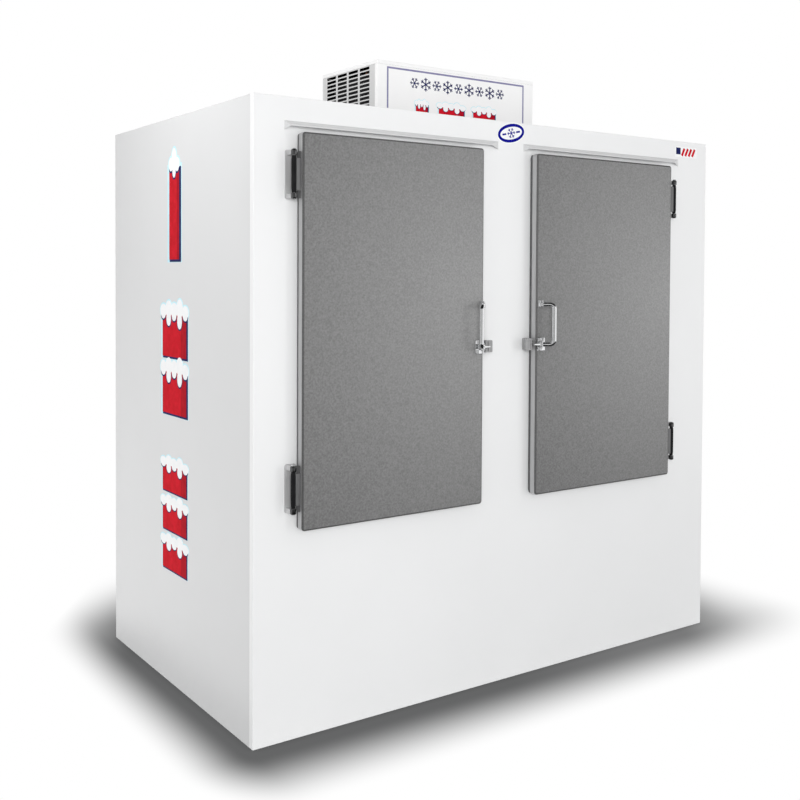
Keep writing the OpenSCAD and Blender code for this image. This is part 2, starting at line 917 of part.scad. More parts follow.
module copper_lines() {
    top = deck_z + coil_h + line_r + top_gap;
    run = in_z1 - line_r - run_drop;
    low = deck_z + line_r + low_gap;
    side = deck_z + side_stub_h;
    coil_x = coil_x0 + coil_t / 2;
    out_x = pass_x - line_spread;
    back_x = pass_x + line_spread;
    out_y = coil_y1 - line_inset;
    color(copper) {
        line([[comp_x, unit_y + stub_y, comp_top + stub_top], [comp_x, unit_y + stub_y, top],
              [coil_x, unit_y + stub_y, top], [coil_x, unit_y + stub_y, deck_z + coil_h]]);
        line([[coil_x1 + ring_t, out_y, low], [out_x, out_y, low], [out_x, pass_y, low],
              [out_x, pass_y, run], [out_x, evap_coil_y0, run]]);
        line([[comp_x, unit_y + comp_r - comp_wall, side], [comp_x, pass_y, side], [back_x, pass_y, side],
              [back_x, pass_y, run], [back_x, evap_coil_y0, run]]);
    }
}

// ---- Cooler under the ceiling ----

module cooler_housing() {
    color(side_white) difference() {
        union() {
            difference() {
                block([-evap_w / 2, evap_y0, evap_z0], [evap_w / 2, evap_y1, in_z1]);
                block([-evap_w / 2 + evap_t, evap_y0 + evap_t, evap_z0 + evap_t],
                      [evap_w / 2 - evap_t, evap_y1 + 1, in_z1 + 1]);
            }
            rod([0, evap_y0 + evap_t, evap_z], "y", evap_fan_r + tip_gap + ring_t, ring_l);
            rod([knob_x, evap_y0, evap_z], "y", boss_r, boss_l);
        }
        rod([0, evap_y0 - 1, evap_z], "y", evap_fan_r + tip_gap, ring_l + 10);
        rod([knob_x, evap_y0 - 1, evap_z], "y", shaft_r + run_gap, boss_l + 2);
    }
}

module cooler_coil() {
    color(edge_grey) {
        block([-evap_w / 2 + 30, evap_coil_y0, in_z1 - evap_coil_h], [evap_w / 2 - 30, evap_coil_y1, in_z1]);
        for (x = [-evap_w / 2 + evap_t, evap_w / 2 - evap_t - 3])
            block([x, evap_coil_y0, in_z1 - evap_coil_h], [x + 3, evap_coil_y1, in_z1]);
        for (z = [1 : 5], y = [20, 60])
            rod([-evap_w / 2 + evap_t, evap_coil_y0 + y, in_z1 - z * 25], "x", 5, evap_w - 2 * evap_t);
    }
}

module cooler_motor() {
    color(dark) translate([0, evap_y0 + evap_t + ring_l, evap_z]) rotate([0, 0, 90])
        fan_motor(evap_motor_r, evap_motor_l, evap_fan_r + tip_gap + ring_t);
}

module cooler_fan() {
    color(edge_grey) translate([0, evap_y0 + evap_t + 4, evap_z]) rotate([0, 0, 90])
        fan(evap_fan_r, 20, ring_l + 20);
}

module drain_pan() {
    color(side_white) translate([0, 0, evap_z0 - pan_h]) difference() {
        union() {
            block([-evap_w / 2, evap_y0, 0], [evap_w / 2, evap_y1, pan_h]);
            rod([0, evap_coil_y1, -spout_l], "z", spout_r, spout_l + evap_t);
        }
        block([-evap_w / 2 + evap_t, evap_y0 + evap_t, evap_t],
              [evap_w / 2 - evap_t, evap_y1 - evap_t, pan_h + 1]);
        rod([0, evap_coil_y1, -spout_l - 1], "z", spout_r - spout_wall, spout_l + pan_h);
    }
}

module thermostat_knob() {
    color(dark) {
        rod([knob_x, evap_y0 - part_gap - knob_l, evap_z], "y", knob_r, knob_l);
        rod([knob_x, evap_y0 - part_gap - 1, evap_z], "y", shaft_r, boss_l + 4);
        block([knob_x - 2, evap_y0 - part_gap - knob_l - 2, evap_z - knob_r + 4],
              [knob_x + 2, evap_y0 - part_gap - knob_l, evap_z + knob_r - 4]);
    }
}

base_pan();
left_side_panel();
right_side_panel();
rear_panel();
roof_panel();
front_panel();
insulation();
left_liner();
right_liner();
rear_liner();
ceiling_liner();
floor_liner();
front_liner();
left_opening_frame();
right_opening_frame();
left_drip_rail();
right_drip_rail();
left_hinge_plates();
right_hinge_plates();
hinge_pins();
left_strike();
right_strike();
hood_front();
hood_left_louvre();
hood_right_louvre();
hood_rear();
hood_top();
unit_tray();
compressor();
condenser_coil();
fan_shroud();
condenser_motor();
control_box();
copper_lines();
cord_gland();
cooler_housing();
cooler_coil();
cooler_motor();
drain_pan();
condenser_fan();
cooler_fan();
thermostat_knob();
left_door_skin();
left_door_edge();
left_door_foam();
left_door_liner();
left_door_seal();
left_hinge_straps();
left_hinge_sleeves();
left_latch_body();
left_handle();
right_door_skin();
right_door_edge();
right_door_foam();
right_door_liner();
right_door_seal();
right_hinge_straps();
right_hinge_sleeves();
right_latch_body();
right_handle();
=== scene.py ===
import json
import math

import bpy
from mathutils import Matrix, Vector


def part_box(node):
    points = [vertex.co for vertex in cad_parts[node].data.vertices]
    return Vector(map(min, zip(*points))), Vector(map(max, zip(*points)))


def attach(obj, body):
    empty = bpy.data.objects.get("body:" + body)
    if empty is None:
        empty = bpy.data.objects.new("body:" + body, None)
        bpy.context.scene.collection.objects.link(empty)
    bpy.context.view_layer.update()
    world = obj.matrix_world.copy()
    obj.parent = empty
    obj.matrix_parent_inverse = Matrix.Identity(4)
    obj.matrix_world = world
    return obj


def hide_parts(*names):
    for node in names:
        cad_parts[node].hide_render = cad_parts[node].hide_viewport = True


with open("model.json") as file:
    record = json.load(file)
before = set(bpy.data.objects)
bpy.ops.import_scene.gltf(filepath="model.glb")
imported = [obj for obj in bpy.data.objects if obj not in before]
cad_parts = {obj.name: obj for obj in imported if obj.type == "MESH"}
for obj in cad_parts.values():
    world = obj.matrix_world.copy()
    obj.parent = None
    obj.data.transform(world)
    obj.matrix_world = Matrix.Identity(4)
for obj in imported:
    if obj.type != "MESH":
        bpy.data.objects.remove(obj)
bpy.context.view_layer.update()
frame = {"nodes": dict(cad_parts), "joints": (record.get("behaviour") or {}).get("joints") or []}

# ---- Shared sizes, in metres ----

SHEET = 0.001        # thickness of the steel sheets
FOLD = 0.0013        # outer radius of a fold
RETURN = 0.020       # how far a sheet turns round its corner
SEAM = 0.0002        # half the gap between two sheets
PRINT_ROOM = 0.0008  # room for the prints inside the CAD box
LAYER = 0.00014      # from one layer of a print to the next
LAYER_STEP = 6e-6    # between plates of one ink, so that none lie in one plane
OPENING_LIP = 0.012  # how far an opening's frame laps over the sheet
UP = Vector((0, 0, 1))

joint_at = {joint["name"]: Vector(joint["pos_m"]) for joint in frame["joints"]}
door_low, door_high = (Vector(v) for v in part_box("left_door_edge"))
FACE_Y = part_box("left_door_skin")[0].y
MIRROR_SUM = door_low.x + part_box("right_door_edge")[1].x
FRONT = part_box("front_panel")[0].y
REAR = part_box("rear_panel")[1].y
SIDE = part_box("front_panel")[1].x - PRINT_ROOM
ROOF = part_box("roof_panel")[1].z
HOOD_LOW, HOOD_HIGH = (Vector(v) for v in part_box("hood_top"))


# ---- Modelling steps ----

def object_mode():
    if bpy.context.object and bpy.context.object.mode != "OBJECT":
        bpy.ops.object.mode_set(mode="OBJECT")


def deselect():
    object_mode()
    bpy.ops.object.select_all(action="DESELECT")


def only(piece):
    """Selects this piece alone and makes it the active one."""
    deselect()
    piece.select_set(True)
    bpy.context.view_layer.objects.active = piece


def named(name):
    """Names the new primitive and applies its place, so that it sits at the origin."""
    piece = bpy.context.object
    piece.name = name
    piece.data.name = name
    bpy.ops.object.transform_apply(location=True, rotation=True, scale=True)
    return piece


def block(name, low, high):
    deselect()
    low, high = Vector(low), Vector(high)
    bpy.ops.mesh.primitive_cube_add(size=1, location=(low + high) / 2, scale=high - low)
    return named(name)


def rod(name, start, end, radius, sides=32):
    deselect()
    start, end = Vector(start), Vector(end)
    along = end - start
    turn = UP.rotation_difference(along).to_euler()
    bpy.ops.mesh.primitive_cylinder_add(vertices=sides, radius=radius, depth=along.length,
                                        location=(start + end) / 2, rotation=turn)
    return named(name)


def pick(piece, kind, test):
    """Leaves edit mode on, with the faces, edges or corners selected that pass the test."""
    only(piece)
    bpy.ops.object.mode_set(mode="EDIT")
    bpy.ops.mesh.select_mode(type=kind)
    bpy.ops.mesh.select_all(action="DESELECT")
    bpy.ops.object.mode_set(mode="OBJECT")
    mesh = piece.data
    if kind == "FACE":
        for face in mesh.polygons:
            face.select = bool(test(face.center, face.normal))
    elif kind == "EDGE":
        for edge in mesh.edges:
            a, b = (mesh.vertices[i].co for i in edge.vertices)
            edge.select = bool(test(a, b))
    else:
        for corner in mesh.vertices:
            corner.select = bool(test(corner.co))
    bpy.ops.object.mode_set(mode="EDIT")


def bevel(width, segments=3):
    bpy.ops.mesh.bevel(offset=width, segments=segments, affect="EDGES", offset_type="OFFSET")
    object_mode()


def along(axis):
    """A test for edges that run along one axis."""
    others = [i for i in range(3) if i != axis]
    return lambda a, b: all(abs(a[i] - b[i]) < 1e-6 for i in others)


def facing(axis, sign):
    """A test for faces that look one way along an axis."""
    return lambda centre, normal: normal[axis] * sign > 0.9


def hollow(piece, axis, rim_low, rim_high):
    """Opens a block along one axis and leaves a wall of these widths at its two ends."""
    for sign, rim in ((-1, rim_low), (1, rim_high)):
        pick(piece, "FACE", facing(axis, sign))
        bpy.ops.mesh.inset(thickness=rim, use_even_offset=True)
        object_mode()
    corners = [corner.co for corner in piece.data.vertices]
    low = Vector([min(co[i] for co in corners) for i in range(3)])
    high = Vector([max(co[i] for co in corners) for i in range(3)])
    middle = (low + high) / 2
    others = [i for i in range(3) if i != axis]

    def in_middle(c, n):
        return abs(n[axis]) > 0.9 and all(abs(c[i] - middle[i]) < 1e-4 for i in others)

    pick(piece, "FACE", in_middle)
    bpy.ops.mesh.bridge_edge_loops()
    object_mode()


def ring(name, low, high, rim_low, rim_high, corner):
    """A rectangular frame that is open along Y, with round outer corners."""
    low, high = Vector(low), Vector(high)
    piece = block(name, low, high)
    hollow(piece, 1, rim_low, rim_high)
    edge = 1e-5
    pick(piece, "EDGE", lambda a, b: along(1)(a, b)
         and (abs(a.x - low.x) < edge or abs(a.x - high.x) < edge)
         and (abs(a.z - low.z) < edge or abs(a.z - high.z) < edge))
    bevel(corner, 6)
    return piece


def cut(piece, point, normal, keep=False):
    """Cuts along a plane and drops what lies on the side that its normal points to."""
    pick(piece, "FACE", lambda c, n: True)
    bpy.ops.mesh.bisect(plane_co=point, plane_no=normal, clear_outer=not keep)
    object_mode()


def drop_faces(piece, test):
    pick(piece, "FACE", test)
    bpy.ops.mesh.delete(type="FACE")
    object_mode()


def apply_all(piece):
    only(piece)
    for name in [m.name for m in piece.modifiers]:
        bpy.ops.object.modifier_apply(modifier=name)


def wall(piece, thickness):
    """Gives a sheet its thickness, to the inside."""
    step = piece.modifiers.new("wall", "SOLIDIFY")
    step.thickness = thickness
    step.offset = -1
    step.use_even_offset = True
    apply_all(piece)


def soften(piece, width, segments=2, angle=35):
    """Rounds the edges that are sharper than this angle."""
    step = piece.modifiers.new("soft edges", "BEVEL")
    step.width = width
    step.segments = segments
    step.limit_method = "ANGLE"
    step.angle_limit = math.radians(angle)
    step.use_clamp_overlap = True
    apply_all(piece)


def smooth(piece, angle=32):
    only(piece)
    bpy.ops.object.shade_smooth_by_angle(angle=math.radians(angle))
    step = piece.modifiers.new("even shading", "WEIGHTED_NORMAL")
    step.keep_sharp = True
    apply_all(piece)


def outwards(piece):
    """Merges doubles and turns every face outwards."""
    pick(piece, "FACE", lambda c, n: True)
    bpy.ops.mesh.remove_doubles(threshold=1e-6)
    bpy.ops.mesh.normals_make_consistent(inside=False)
    object_mode()


def joined(name, pieces):
    deselect()
    for piece in pieces:
        piece.select_set(True)
    bpy.context.view_layer.objects.active = pieces[0]
    if len(pieces) > 1:
        bpy.ops.object.join()
    pieces[0].name = name
    pieces[0].data.name = name
    return pieces[0]


def copied(piece, name, matrix):
    """A copy with its own mesh, moved by a matrix that is applied to the mesh."""
    twin = piece.copy()
    twin.data = piece.data.copy()
    twin.name = name
    twin.data.name = name
    bpy.context.scene.collection.objects.link(twin)
    twin.data.transform(matrix)
    if matrix.determinant() < 0:
        twin.data.flip_normals()
    return twin


def moved(piece, name, x=0.0, y=0.0, z=0.0):
    return copied(piece, name, Matrix.Translation((x, y, z)))


def to_right_door(piece, name):
    """The right door's twin of a piece of the left door."""
    swap = Matrix.Translation((MIRROR_SUM, 0, 0)) @ Matrix.Scale(-1, 4, (1, 0, 0))
    return copied(piece, name, swap)


def mirrored(piece, name):
    return copied(piece, name, Matrix.Scale(-1, 4, (1, 0, 0)))


def dress(piece, body, slot, finish, *nodes):
    """Gives a piece its finish and its body and hides the solids that it stands for; the slot is not used.
    """
    smooth(piece)
    piece.data.materials.clear()
    piece.data.materials.append(finish)
    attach(piece, body)
    if nodes:
        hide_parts(*nodes)
    return piece


# ---- Finishes ----

def finish_of(name, metallic, roughness, coat=0.0, specular=0.5):
    material = bpy.data.materials.new(name)
    material.use_nodes = True
    shader = material.node_tree.nodes["Principled BSDF"]
    shader.inputs["Metallic"].default_value = metallic
    shader.inputs["Roughness"].default_value = roughness
    shader.inputs["Coat Weight"].default_value = coat
    shader.inputs["Coat Roughness"].default_value = 0.1
    shader.inputs["Specular IOR Level"].default_value = specular
    return material


def place(material, stretch=(1, 1, 1)):
    """The object's own coordinates, stretched for a grain that runs one way."""
    nodes, links = material.node_tree.nodes, material.node_tree.links
    coordinates = nodes.new("ShaderNodeTexCoord")
    mapping = nodes.new("ShaderNodeMapping")
    mapping.inputs["Scale"].default_value = stretch
    links.new(coordinates.outputs["Object"], mapping.inputs["Vector"])
    return mapping.outputs["Vector"]


def noise(material, scale, detail=2.0, stretch=(1, 1, 1)):
    nodes, links = material.node_tree.nodes, material.node_tree.links
    texture = nodes.new("ShaderNodeTexNoise")
    texture.inputs["Scale"].default_value = scale
    texture.inputs["Detail"].default_value = detail
    links.new(place(material, stretch), texture.inputs["Vector"])
    return texture.outputs["Fac"]


def cells(material, scale, stretch=(1, 1, 1), feature="F1", output="Distance"):
    nodes, links = material.node_tree.nodes, material.node_tree.links
    texture = nodes.new("ShaderNodeTexVoronoi")
    texture.feature = feature
    texture.inputs["Scale"].default_value = scale
    links.new(place(material, stretch), texture.inputs["Vector"])
    return texture.outputs[output]


def shades(material, source, dark, light, low=0.3, high=0.7):
    """Colours the surface between two shades by a texture."""
    nodes, links = material.node_tree.nodes, material.node_tree.links
    ramp = nodes.new("ShaderNodeValToRGB")
    ramp.color_ramp.elements[0].position = low
    ramp.color_ramp.elements[0].color = (*dark, 1)
    ramp.color_ramp.elements[1].position = high
    ramp.color_ramp.elements[1].color = (*light, 1)
    links.new(source, ramp.inputs["Fac"])
    links.new(ramp.outputs["Color"], nodes["Principled BSDF"].inputs["Base Color"])


def gloss(material, source, low, high):
    """Varies the roughness between two values by a texture."""
    nodes, links = material.node_tree.nodes, material.node_tree.links
    span = nodes.new("ShaderNodeMapRange")
    span.inputs["To Min"].default_value = low
    span.inputs["To Max"].default_value = high
    links.new(source, span.inputs["Value"])
    links.new(span.outputs["Result"], nodes["Principled BSDF"].inputs["Roughness"])


def relief(material, source, strength, height):
    """Raises the surface by a texture, by that height in metres."""
    nodes, links = material.node_tree.nodes, material.node_tree.links
    bump = nodes.new("ShaderNodeBump")
    bump.inputs["Strength"].default_value = strength
    bump.inputs["Distance"].default_value = height
    links.new(source, bump.inputs["Height"])
    links.new(bump.outputs["Normal"], nodes["Principled BSDF"].inputs["Normal"])


def grey(level, tint=(1, 1, 1)):
    return tuple(level * t for t in tint)


ENAMEL_TINT = (0.995, 1.0, 1.005)


def enamel_skin(name):
    """The gloss and the faint orange peel of baked enamel, still without its colour."""
    material = finish_of(name, 0.0, 0.34, coat=0.15, specular=0.4)
    gloss(material, noise(material, 34.0, 3.0), 0.30, 0.40)
    relief(material, noise(material, 420.0, 2.0), 0.10, 0.0002)
    return material


def enamel(name, level):
    """Baked white enamel with a faint mottle."""
    material = enamel_skin(name)
    shades(material, noise(material, 3.2, 3.0), grey(level * 0.982, ENAMEL_TINT), grey(level, ENAMEL_TINT))
    return material


def enamel_painted_darker_below(name, level, foot_level, foot, top):
    """Enamel with painted shade: darker towards its foot, lighter towards its top."""
    material = enamel_skin(name)
    nodes, links = material.node_tree.nodes, material.node_tree.links
    axes = nodes.new("ShaderNodeSeparateXYZ")
    links.new(place(material), axes.inputs["Vector"])
    height = nodes.new("ShaderNodeMapRange")
    height.inputs["From Min"].default_value = foot
    height.inputs["From Max"].default_value = top
    links.new(axes.outputs["Z"], height.inputs["Value"])
    share = nodes.new("ShaderNodeMix")
    share.data_type = "FLOAT"
    share.inputs["Factor"].default_value = 0.12
    links.new(height.outputs["Result"], share.inputs["A"])
    links.new(noise(material, 3.2, 3.0), share.inputs["B"])
    shades(material, share.outputs["Result"], grey(foot_level), grey(level), 0.0, 1.0)
    return material


def grain_with_painted_sheen(name, edge_x, dark, light):
    """Embossed grey door sheet: fine pebbles, and a painted sheen that makes it brighter towards one edge.
    """
    material = finish_of(name, 0.15, 0.5, specular=0.3)
    nodes, links = material.node_tree.nodes, material.node_tree.links
    middle = Vector((edge_x, FACE_Y, door_low.z + 0.58 * (door_high.z - door_low.z)))
    reach = 0.9
    mapping = nodes.new("ShaderNodeMapping")
    mapping.inputs["Scale"].default_value = (1 / reach, 1 / reach, 1 / reach)
    mapping.inputs["Location"].default_value = -middle / reach
    coordinates = nodes.new("ShaderNodeTexCoord")
    links.new(coordinates.outputs["Object"], mapping.inputs["Vector"])
    # A painted sheen: brighter near edge_x, darker away from it.
    painted_sheen = nodes.new("ShaderNodeTexGradient")
    painted_sheen.gradient_type = "SPHERICAL"
    links.new(mapping.outputs["Vector"], painted_sheen.inputs["Vector"])
    share = nodes.new("ShaderNodeMix")
    share.data_type = "FLOAT"
    share.inputs["Factor"].default_value = 0.38
    links.new(painted_sheen.outputs["Fac"], share.inputs["A"])
    pebbles = nodes.new("ShaderNodeMapRange")
    pebbles.inputs["From Min"].default_value = 0.27
    pebbles.inputs["From Max"].default_value = 0.73
    links.new(noise(material, 210.0, 2.0), pebbles.inputs["Value"])
    links.new(pebbles.outputs["Result"], share.inputs["B"])
    shades(material, share.outputs["Result"], grey(dark), grey(light), 0.0, 1.0)
    gloss(material, noise(material, 90.0, 2.0), 0.42, 0.56)
    relief(material, cells(material, 330.0, stretch=(1, 1, 0.8)), 0.4, 0.0004)
    return material


def satin_metal(name, dark, light, stretch, rough=(0.30, 0.42), metallic=0.75):
    """Satin metal with a fine brushed line along one direction."""
    material = finish_of(name, metallic, 0.36)
    shades(material, noise(material, 120.0, 4.0, stretch), dark, light)
    gloss(material, noise(material, 60.0, 2.0, stretch), *rough)
    relief(material, noise(material, 300.0, 2.0, stretch), 0.12, 0.0001)
    return material


def chrome_plate(name):
    material = finish_of(name, 1.0, 0.10)
    shades(material, noise(material, 38.0, 3.0), (0.80, 0.81, 0.82), (0.90, 0.905, 0.91))
    gloss(material, noise(material, 160.0, 3.0), 0.06, 0.16)
    relief(material, noise(material, 620.0, 2.0), 0.05, 0.00005)
    return material


def dull(name, dark, light, roughness, scale=140.0, height=0.0002, coat=0.0, specular=0.5):
    """Rubber, plastic or painted parts with a fine texture."""
    material = finish_of(name, 0.0, roughness, coat=coat, specular=specular)
    shades(material, noise(material, scale * 0.3, 3.0), dark, light)
    gloss(material, noise(material, scale * 0.7, 2.0), roughness * 0.85, min(1.0, roughness * 1.15))
    relief(material, noise(material, scale * 3.0, 3.0), 0.35, height)
    return material


def spangled(name, dark, light):
    """Zinc coat with its crystal spangle."""
    material = finish_of(name, 0.85, 0.42)
    spangle = cells(material, 70.0, output="Color")
    shades(material, spangle, dark, light, 0.2, 0.8)
    gloss(material, spangle, 0.32, 0.50)
    relief(material, noise(material, 260.0, 2.0), 0.15, 0.0001)
    return material


def embossed(name, dark, light):
    """Stucco-embossed liner sheet."""
    material = finish_of(name, 0.7, 0.42)
    pebbles = cells(material, 120.0, feature="SMOOTH_F1")
    shades(material, noise(material, 24.0, 3.0), dark, light)
    gloss(material, noise(material, 60.0, 2.0), 0.34, 0.48)
    relief(material, pebbles, 0.5, 0.0008)
    return material


def finned(name, dark, light):
    """The coil's thin plates, side by side."""
    material = finish_of(name, 0.8, 0.42)
    nodes, links = material.node_tree.nodes, material.node_tree.links
    waves = nodes.new("ShaderNodeTexWave")
    waves.wave_type = "BANDS"
    waves.bands_direction = "DIAGONAL"
    waves.inputs["Scale"].default_value = 82.5
    waves.inputs["Distortion"].default_value = 0.3
    links.new(place(material, (1, 1, 0.02)), waves.inputs["Vector"])
    shades(material, waves.outputs["Fac"], dark, light)
    relief(material, waves.outputs["Fac"], 0.8, 0.0015)
    return material


def ink(name, dark, light):
    """Printed vinyl: even colour with the slight mottle of its print."""
    material = finish_of(name, 0.0, 0.5, specular=0.03)
    shades(material, noise(material, 46.0, 3.0), dark, light)
    gloss(material, noise(material, 120.0, 2.0), 0.46, 0.56)
    relief(material, noise(material, 500.0, 2.0), 0.08, 0.0001)
    return material


WHITE = enamel("white_enamel", 0.855)
# A darker copy of the white enamel: painted shade for the sides, rear, base, drip rails and the white parts
# inside.
PAINTED_SHADE_WHITE = enamel("side_enamel_painted_shade", 0.685)
# A lighter copy of the white enamel: painted light on the hood's front and lid, with painted shade towards
# the roof.
HOOD_PAINTED_LIGHT = enamel_painted_darker_below("hood_enamel_painted_light", 0.95, 0.84, ROOF, HOOD_HIGH.z)
# The door sheets carry a painted sheen, brighter towards each door's right edge.
LEFT_GRAIN_AND_SHEEN = grain_with_painted_sheen("left_door_grain_painted_sheen", door_high.x, 0.139, 0.362)
RIGHT_GRAIN_AND_SHEEN = grain_with_painted_sheen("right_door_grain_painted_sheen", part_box("right_door_edge")[1].x, 0.139, 0.366)
# A darker copy of the door sheet, with the same painted sheen: painted shade on the doors' border.
BORDER_PAINTED_SHADE = grain_with_painted_sheen("door_border_painted_shade", door_high.x, 0.075, 0.18)
EDGE = satin_metal("door_edge_satin", (0.44, 0.44, 0.445), (0.52, 0.52, 0.525), (1, 1, 0.05), metallic=0.4)
# The retainer's dark grey is partly its own colour and partly painted shade of the gap behind the door.
RETAINER_GREY_AND_SHADE = dull("retainer_plastic_and_painted_shade", (0.115, 0.115, 0.118), (0.145, 0.145, 0.148), 0.55)
RUBBER = dull("seal_rubber", (0.085, 0.085, 0.088), (0.11, 0.11, 0.113), 0.75)
CHROME = chrome_plate("polished_chrome")
STEEL = satin_metal("zinc_plate", (0.50, 0.50, 0.505), (0.60, 0.60, 0.605), (1, 1, 0.1), (0.42, 0.54), 0.2)
KEEPER = satin_metal("keeper_plate", (0.33, 0.33, 0.333), (0.42, 0.42, 0.424), (1, 1, 0.1),
                     (0.44, 0.56), 0.2)
# Chrome painted dark for the hinge knuckles: a painted reflection of dark surroundings.
CHROME_PAINTED_DARK = satin_metal("chrome_painted_dark_reflection", (0.10, 0.10, 0.102), (0.16, 0.16, 0.163), (1, 1, 1),
                          (0.12, 0.22), 1.0)
DARK_STEEL = satin_metal("dark_plate", (0.14, 0.14, 0.143), (0.20, 0.20, 0.203), (1, 1, 0.1),
                         (0.36, 0.48), 0.3)
BLACK = dull("black_sleeve", (0.008, 0.008, 0.009), (0.014, 0.014, 0.015), 0.55, specular=0.15)
LINER = embossed("liner_sheet", (0.52, 0.525, 0.53), (0.62, 0.625, 0.63))
TRIM = dull("opening_plastic", (0.70, 0.70, 0.69), (0.76, 0.76, 0.75), 0.38, 90.0, 0.0001)
FOAM = dull("wall_foam", (0.62, 0.52, 0.28), (0.74, 0.64, 0.38), 0.9, 60.0, 0.001)
ZINC = spangled("zinc_tray", (0.34, 0.345, 0.35), (0.52, 0.525, 0.53))
SHELL_BLACK = dull("compressor_enamel", (0.012, 0.012, 0.013), (0.022, 0.022, 0.023), 0.30, 120.0, 0.0001,
                   coat=0.3)
FINS = finned("coil_fins", (0.05, 0.05, 0.052), (0.34, 0.345, 0.35))
COPPER = satin_metal("copper_tube", (0.52, 0.22, 0.12), (0.68, 0.32, 0.19), (1, 1, 1), (0.24, 0.38), 1.0)
DARK = dull("dark_plastic", (0.020, 0.020, 0.022), (0.034, 0.034, 0.036), 0.5)
BLADES = satin_metal("fan_blades", (0.40, 0.405, 0.41), (0.52, 0.525, 0.53), (1, 1, 1))
# A darker copy of the hood enamel: painted shade on the hood's sides, also darker towards the roof.
HOOD_SIDE_PAINTED_SHADE = enamel_painted_darker_below("hood_side_enamel", 0.66, 0.54, ROOF, HOOD_HIGH.z)
# Near black inside the hood: painted shade behind the slots.
HOOD_INSIDE_PAINTED_SHADE = dull("hood_inside_painted_shade", (0.005, 0.005, 0.006), (0.010, 0.010, 0.011), 0.85, specular=0.03)
# The condenser coil is painted near black: painted shade seen through the hood's slots.
CONDENSER_FINS_PAINTED_SHADE = finned("condenser_fins_painted_shade", (0.004, 0.004, 0.005), (0.030, 0.030, 0.032))
RED = ink("red_print", (0.50, 0.006, 0.014), (0.62, 0.010, 0.024))
RED_SHADE = ink("deep_red_print", (0.36, 0.004, 0.012), (0.46, 0.007, 0.018))
NAVY = ink("navy_print", (0.010, 0.014, 0.080), (0.016, 0.022, 0.11))
BLUE = ink("blue_print", (0.003, 0.004, 0.22), (0.006, 0.008, 0.28))
LINE = ink("line_print", (0.22, 0.215, 0.36), (0.27, 0.26, 0.42))
PALE = ink("pale_ice_print", (0.54, 0.80, 0.88), (0.64, 0.88, 0.94))
SNOW = ink("snow_print", (0.88, 0.89, 0.90), (0.92, 0.925, 0.93))


# ---- Screws, modelled once ----

def screw_head(name):
    """A pan head with a rounded edge and a cross slot; it looks along -Y at the origin."""
    radius, height = 0.0042, 0.0016
    head = rod(name, (0, 0, 0), (0, -height, 0), radius, 20)
    pick(head, "EDGE", lambda a, b: a.y < -height * 0.9 and b.y < -height * 0.9)
    bevel(height * 0.7, 3)
    slots = []
    for k, (w, h) in enumerate(((radius * 0.55, radius * 0.11), (radius * 0.11, radius * 0.55))):
        slots.append(block(f"slot_{k}", (-w, -height * 1.2, -h), (w, -height * 0.45, h)))
    for slot in slots:
        step = head.modifiers.new("slot", "BOOLEAN")
        step.operation = "DIFFERENCE"
        step.object = slot
        step.solver = "EXACT"
    apply_all(head)
    for slot in slots:
        bpy.data.objects.remove(slot)
    return head


SCREW = screw_head("screw_pattern")


def screws(name, spots):
    """Copies of the screw at these places, as one piece."""
    heads = []
    for k, spot in enumerate(spots):
        spin = Matrix.Rotation(math.radians(17 + 41 * k), 4, "Y")
        heads.append(copied(SCREW, f"{name}_{k}", Matrix.Translation(spot) @ spin))
    return joined(name, heads)


# ---- Cabinet sheets ----

def folded_shell(name, low, high, radius=FOLD, segments=4):
    """A closed box with rounded folds, from which the sheets are cut."""
    shell = block(name, low, high)
    pick(shell, "EDGE", lambda a, b: True)
    bevel(radius, segments)
    return shell


def sheet_from(shell, name, low=(None,) * 3, high=(None,) * 3):
    """The part of a shell between these planes, with its own mesh."""
    part = copied(shell, name, Matrix.Identity(4))
    for axis in range(3):
        for bound, sign in ((low[axis], -1), (high[axis], 1)):
            if bound is None:
                continue
            point, normal = [0, 0, 0], [0, 0, 0]
            point[axis], normal[axis] = bound, sign
            cut(part, point, normal)
    return part


def cut_openings(sheet, openings):
    """Cuts the door openings out of the front sheet."""
    for low, high in openings:
        for axis, value in ((0, low.x), (0, high.x), (2, low.z), (2, high.z)):
            point, normal = [0, 0, 0], [0, 0, 0]
            point[axis], normal[axis] = value, 1
            cut(sheet, point, normal, keep=True)
    for low, high in openings:
        drop_faces(sheet, lambda c, n: low.x < c.x < high.x and low.z < c.z < high.z)


def door_openings():
    """The two openings as they are cut in the outer sheet."""
    found = []
    for side in ("left", "right"):
        low, high = (Vector(v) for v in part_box(side + "_opening_frame"))
        shrink = Vector((OPENING_LIP, 0, OPENING_LIP))
        found.append((low + shrink, high - shrink))
    return found


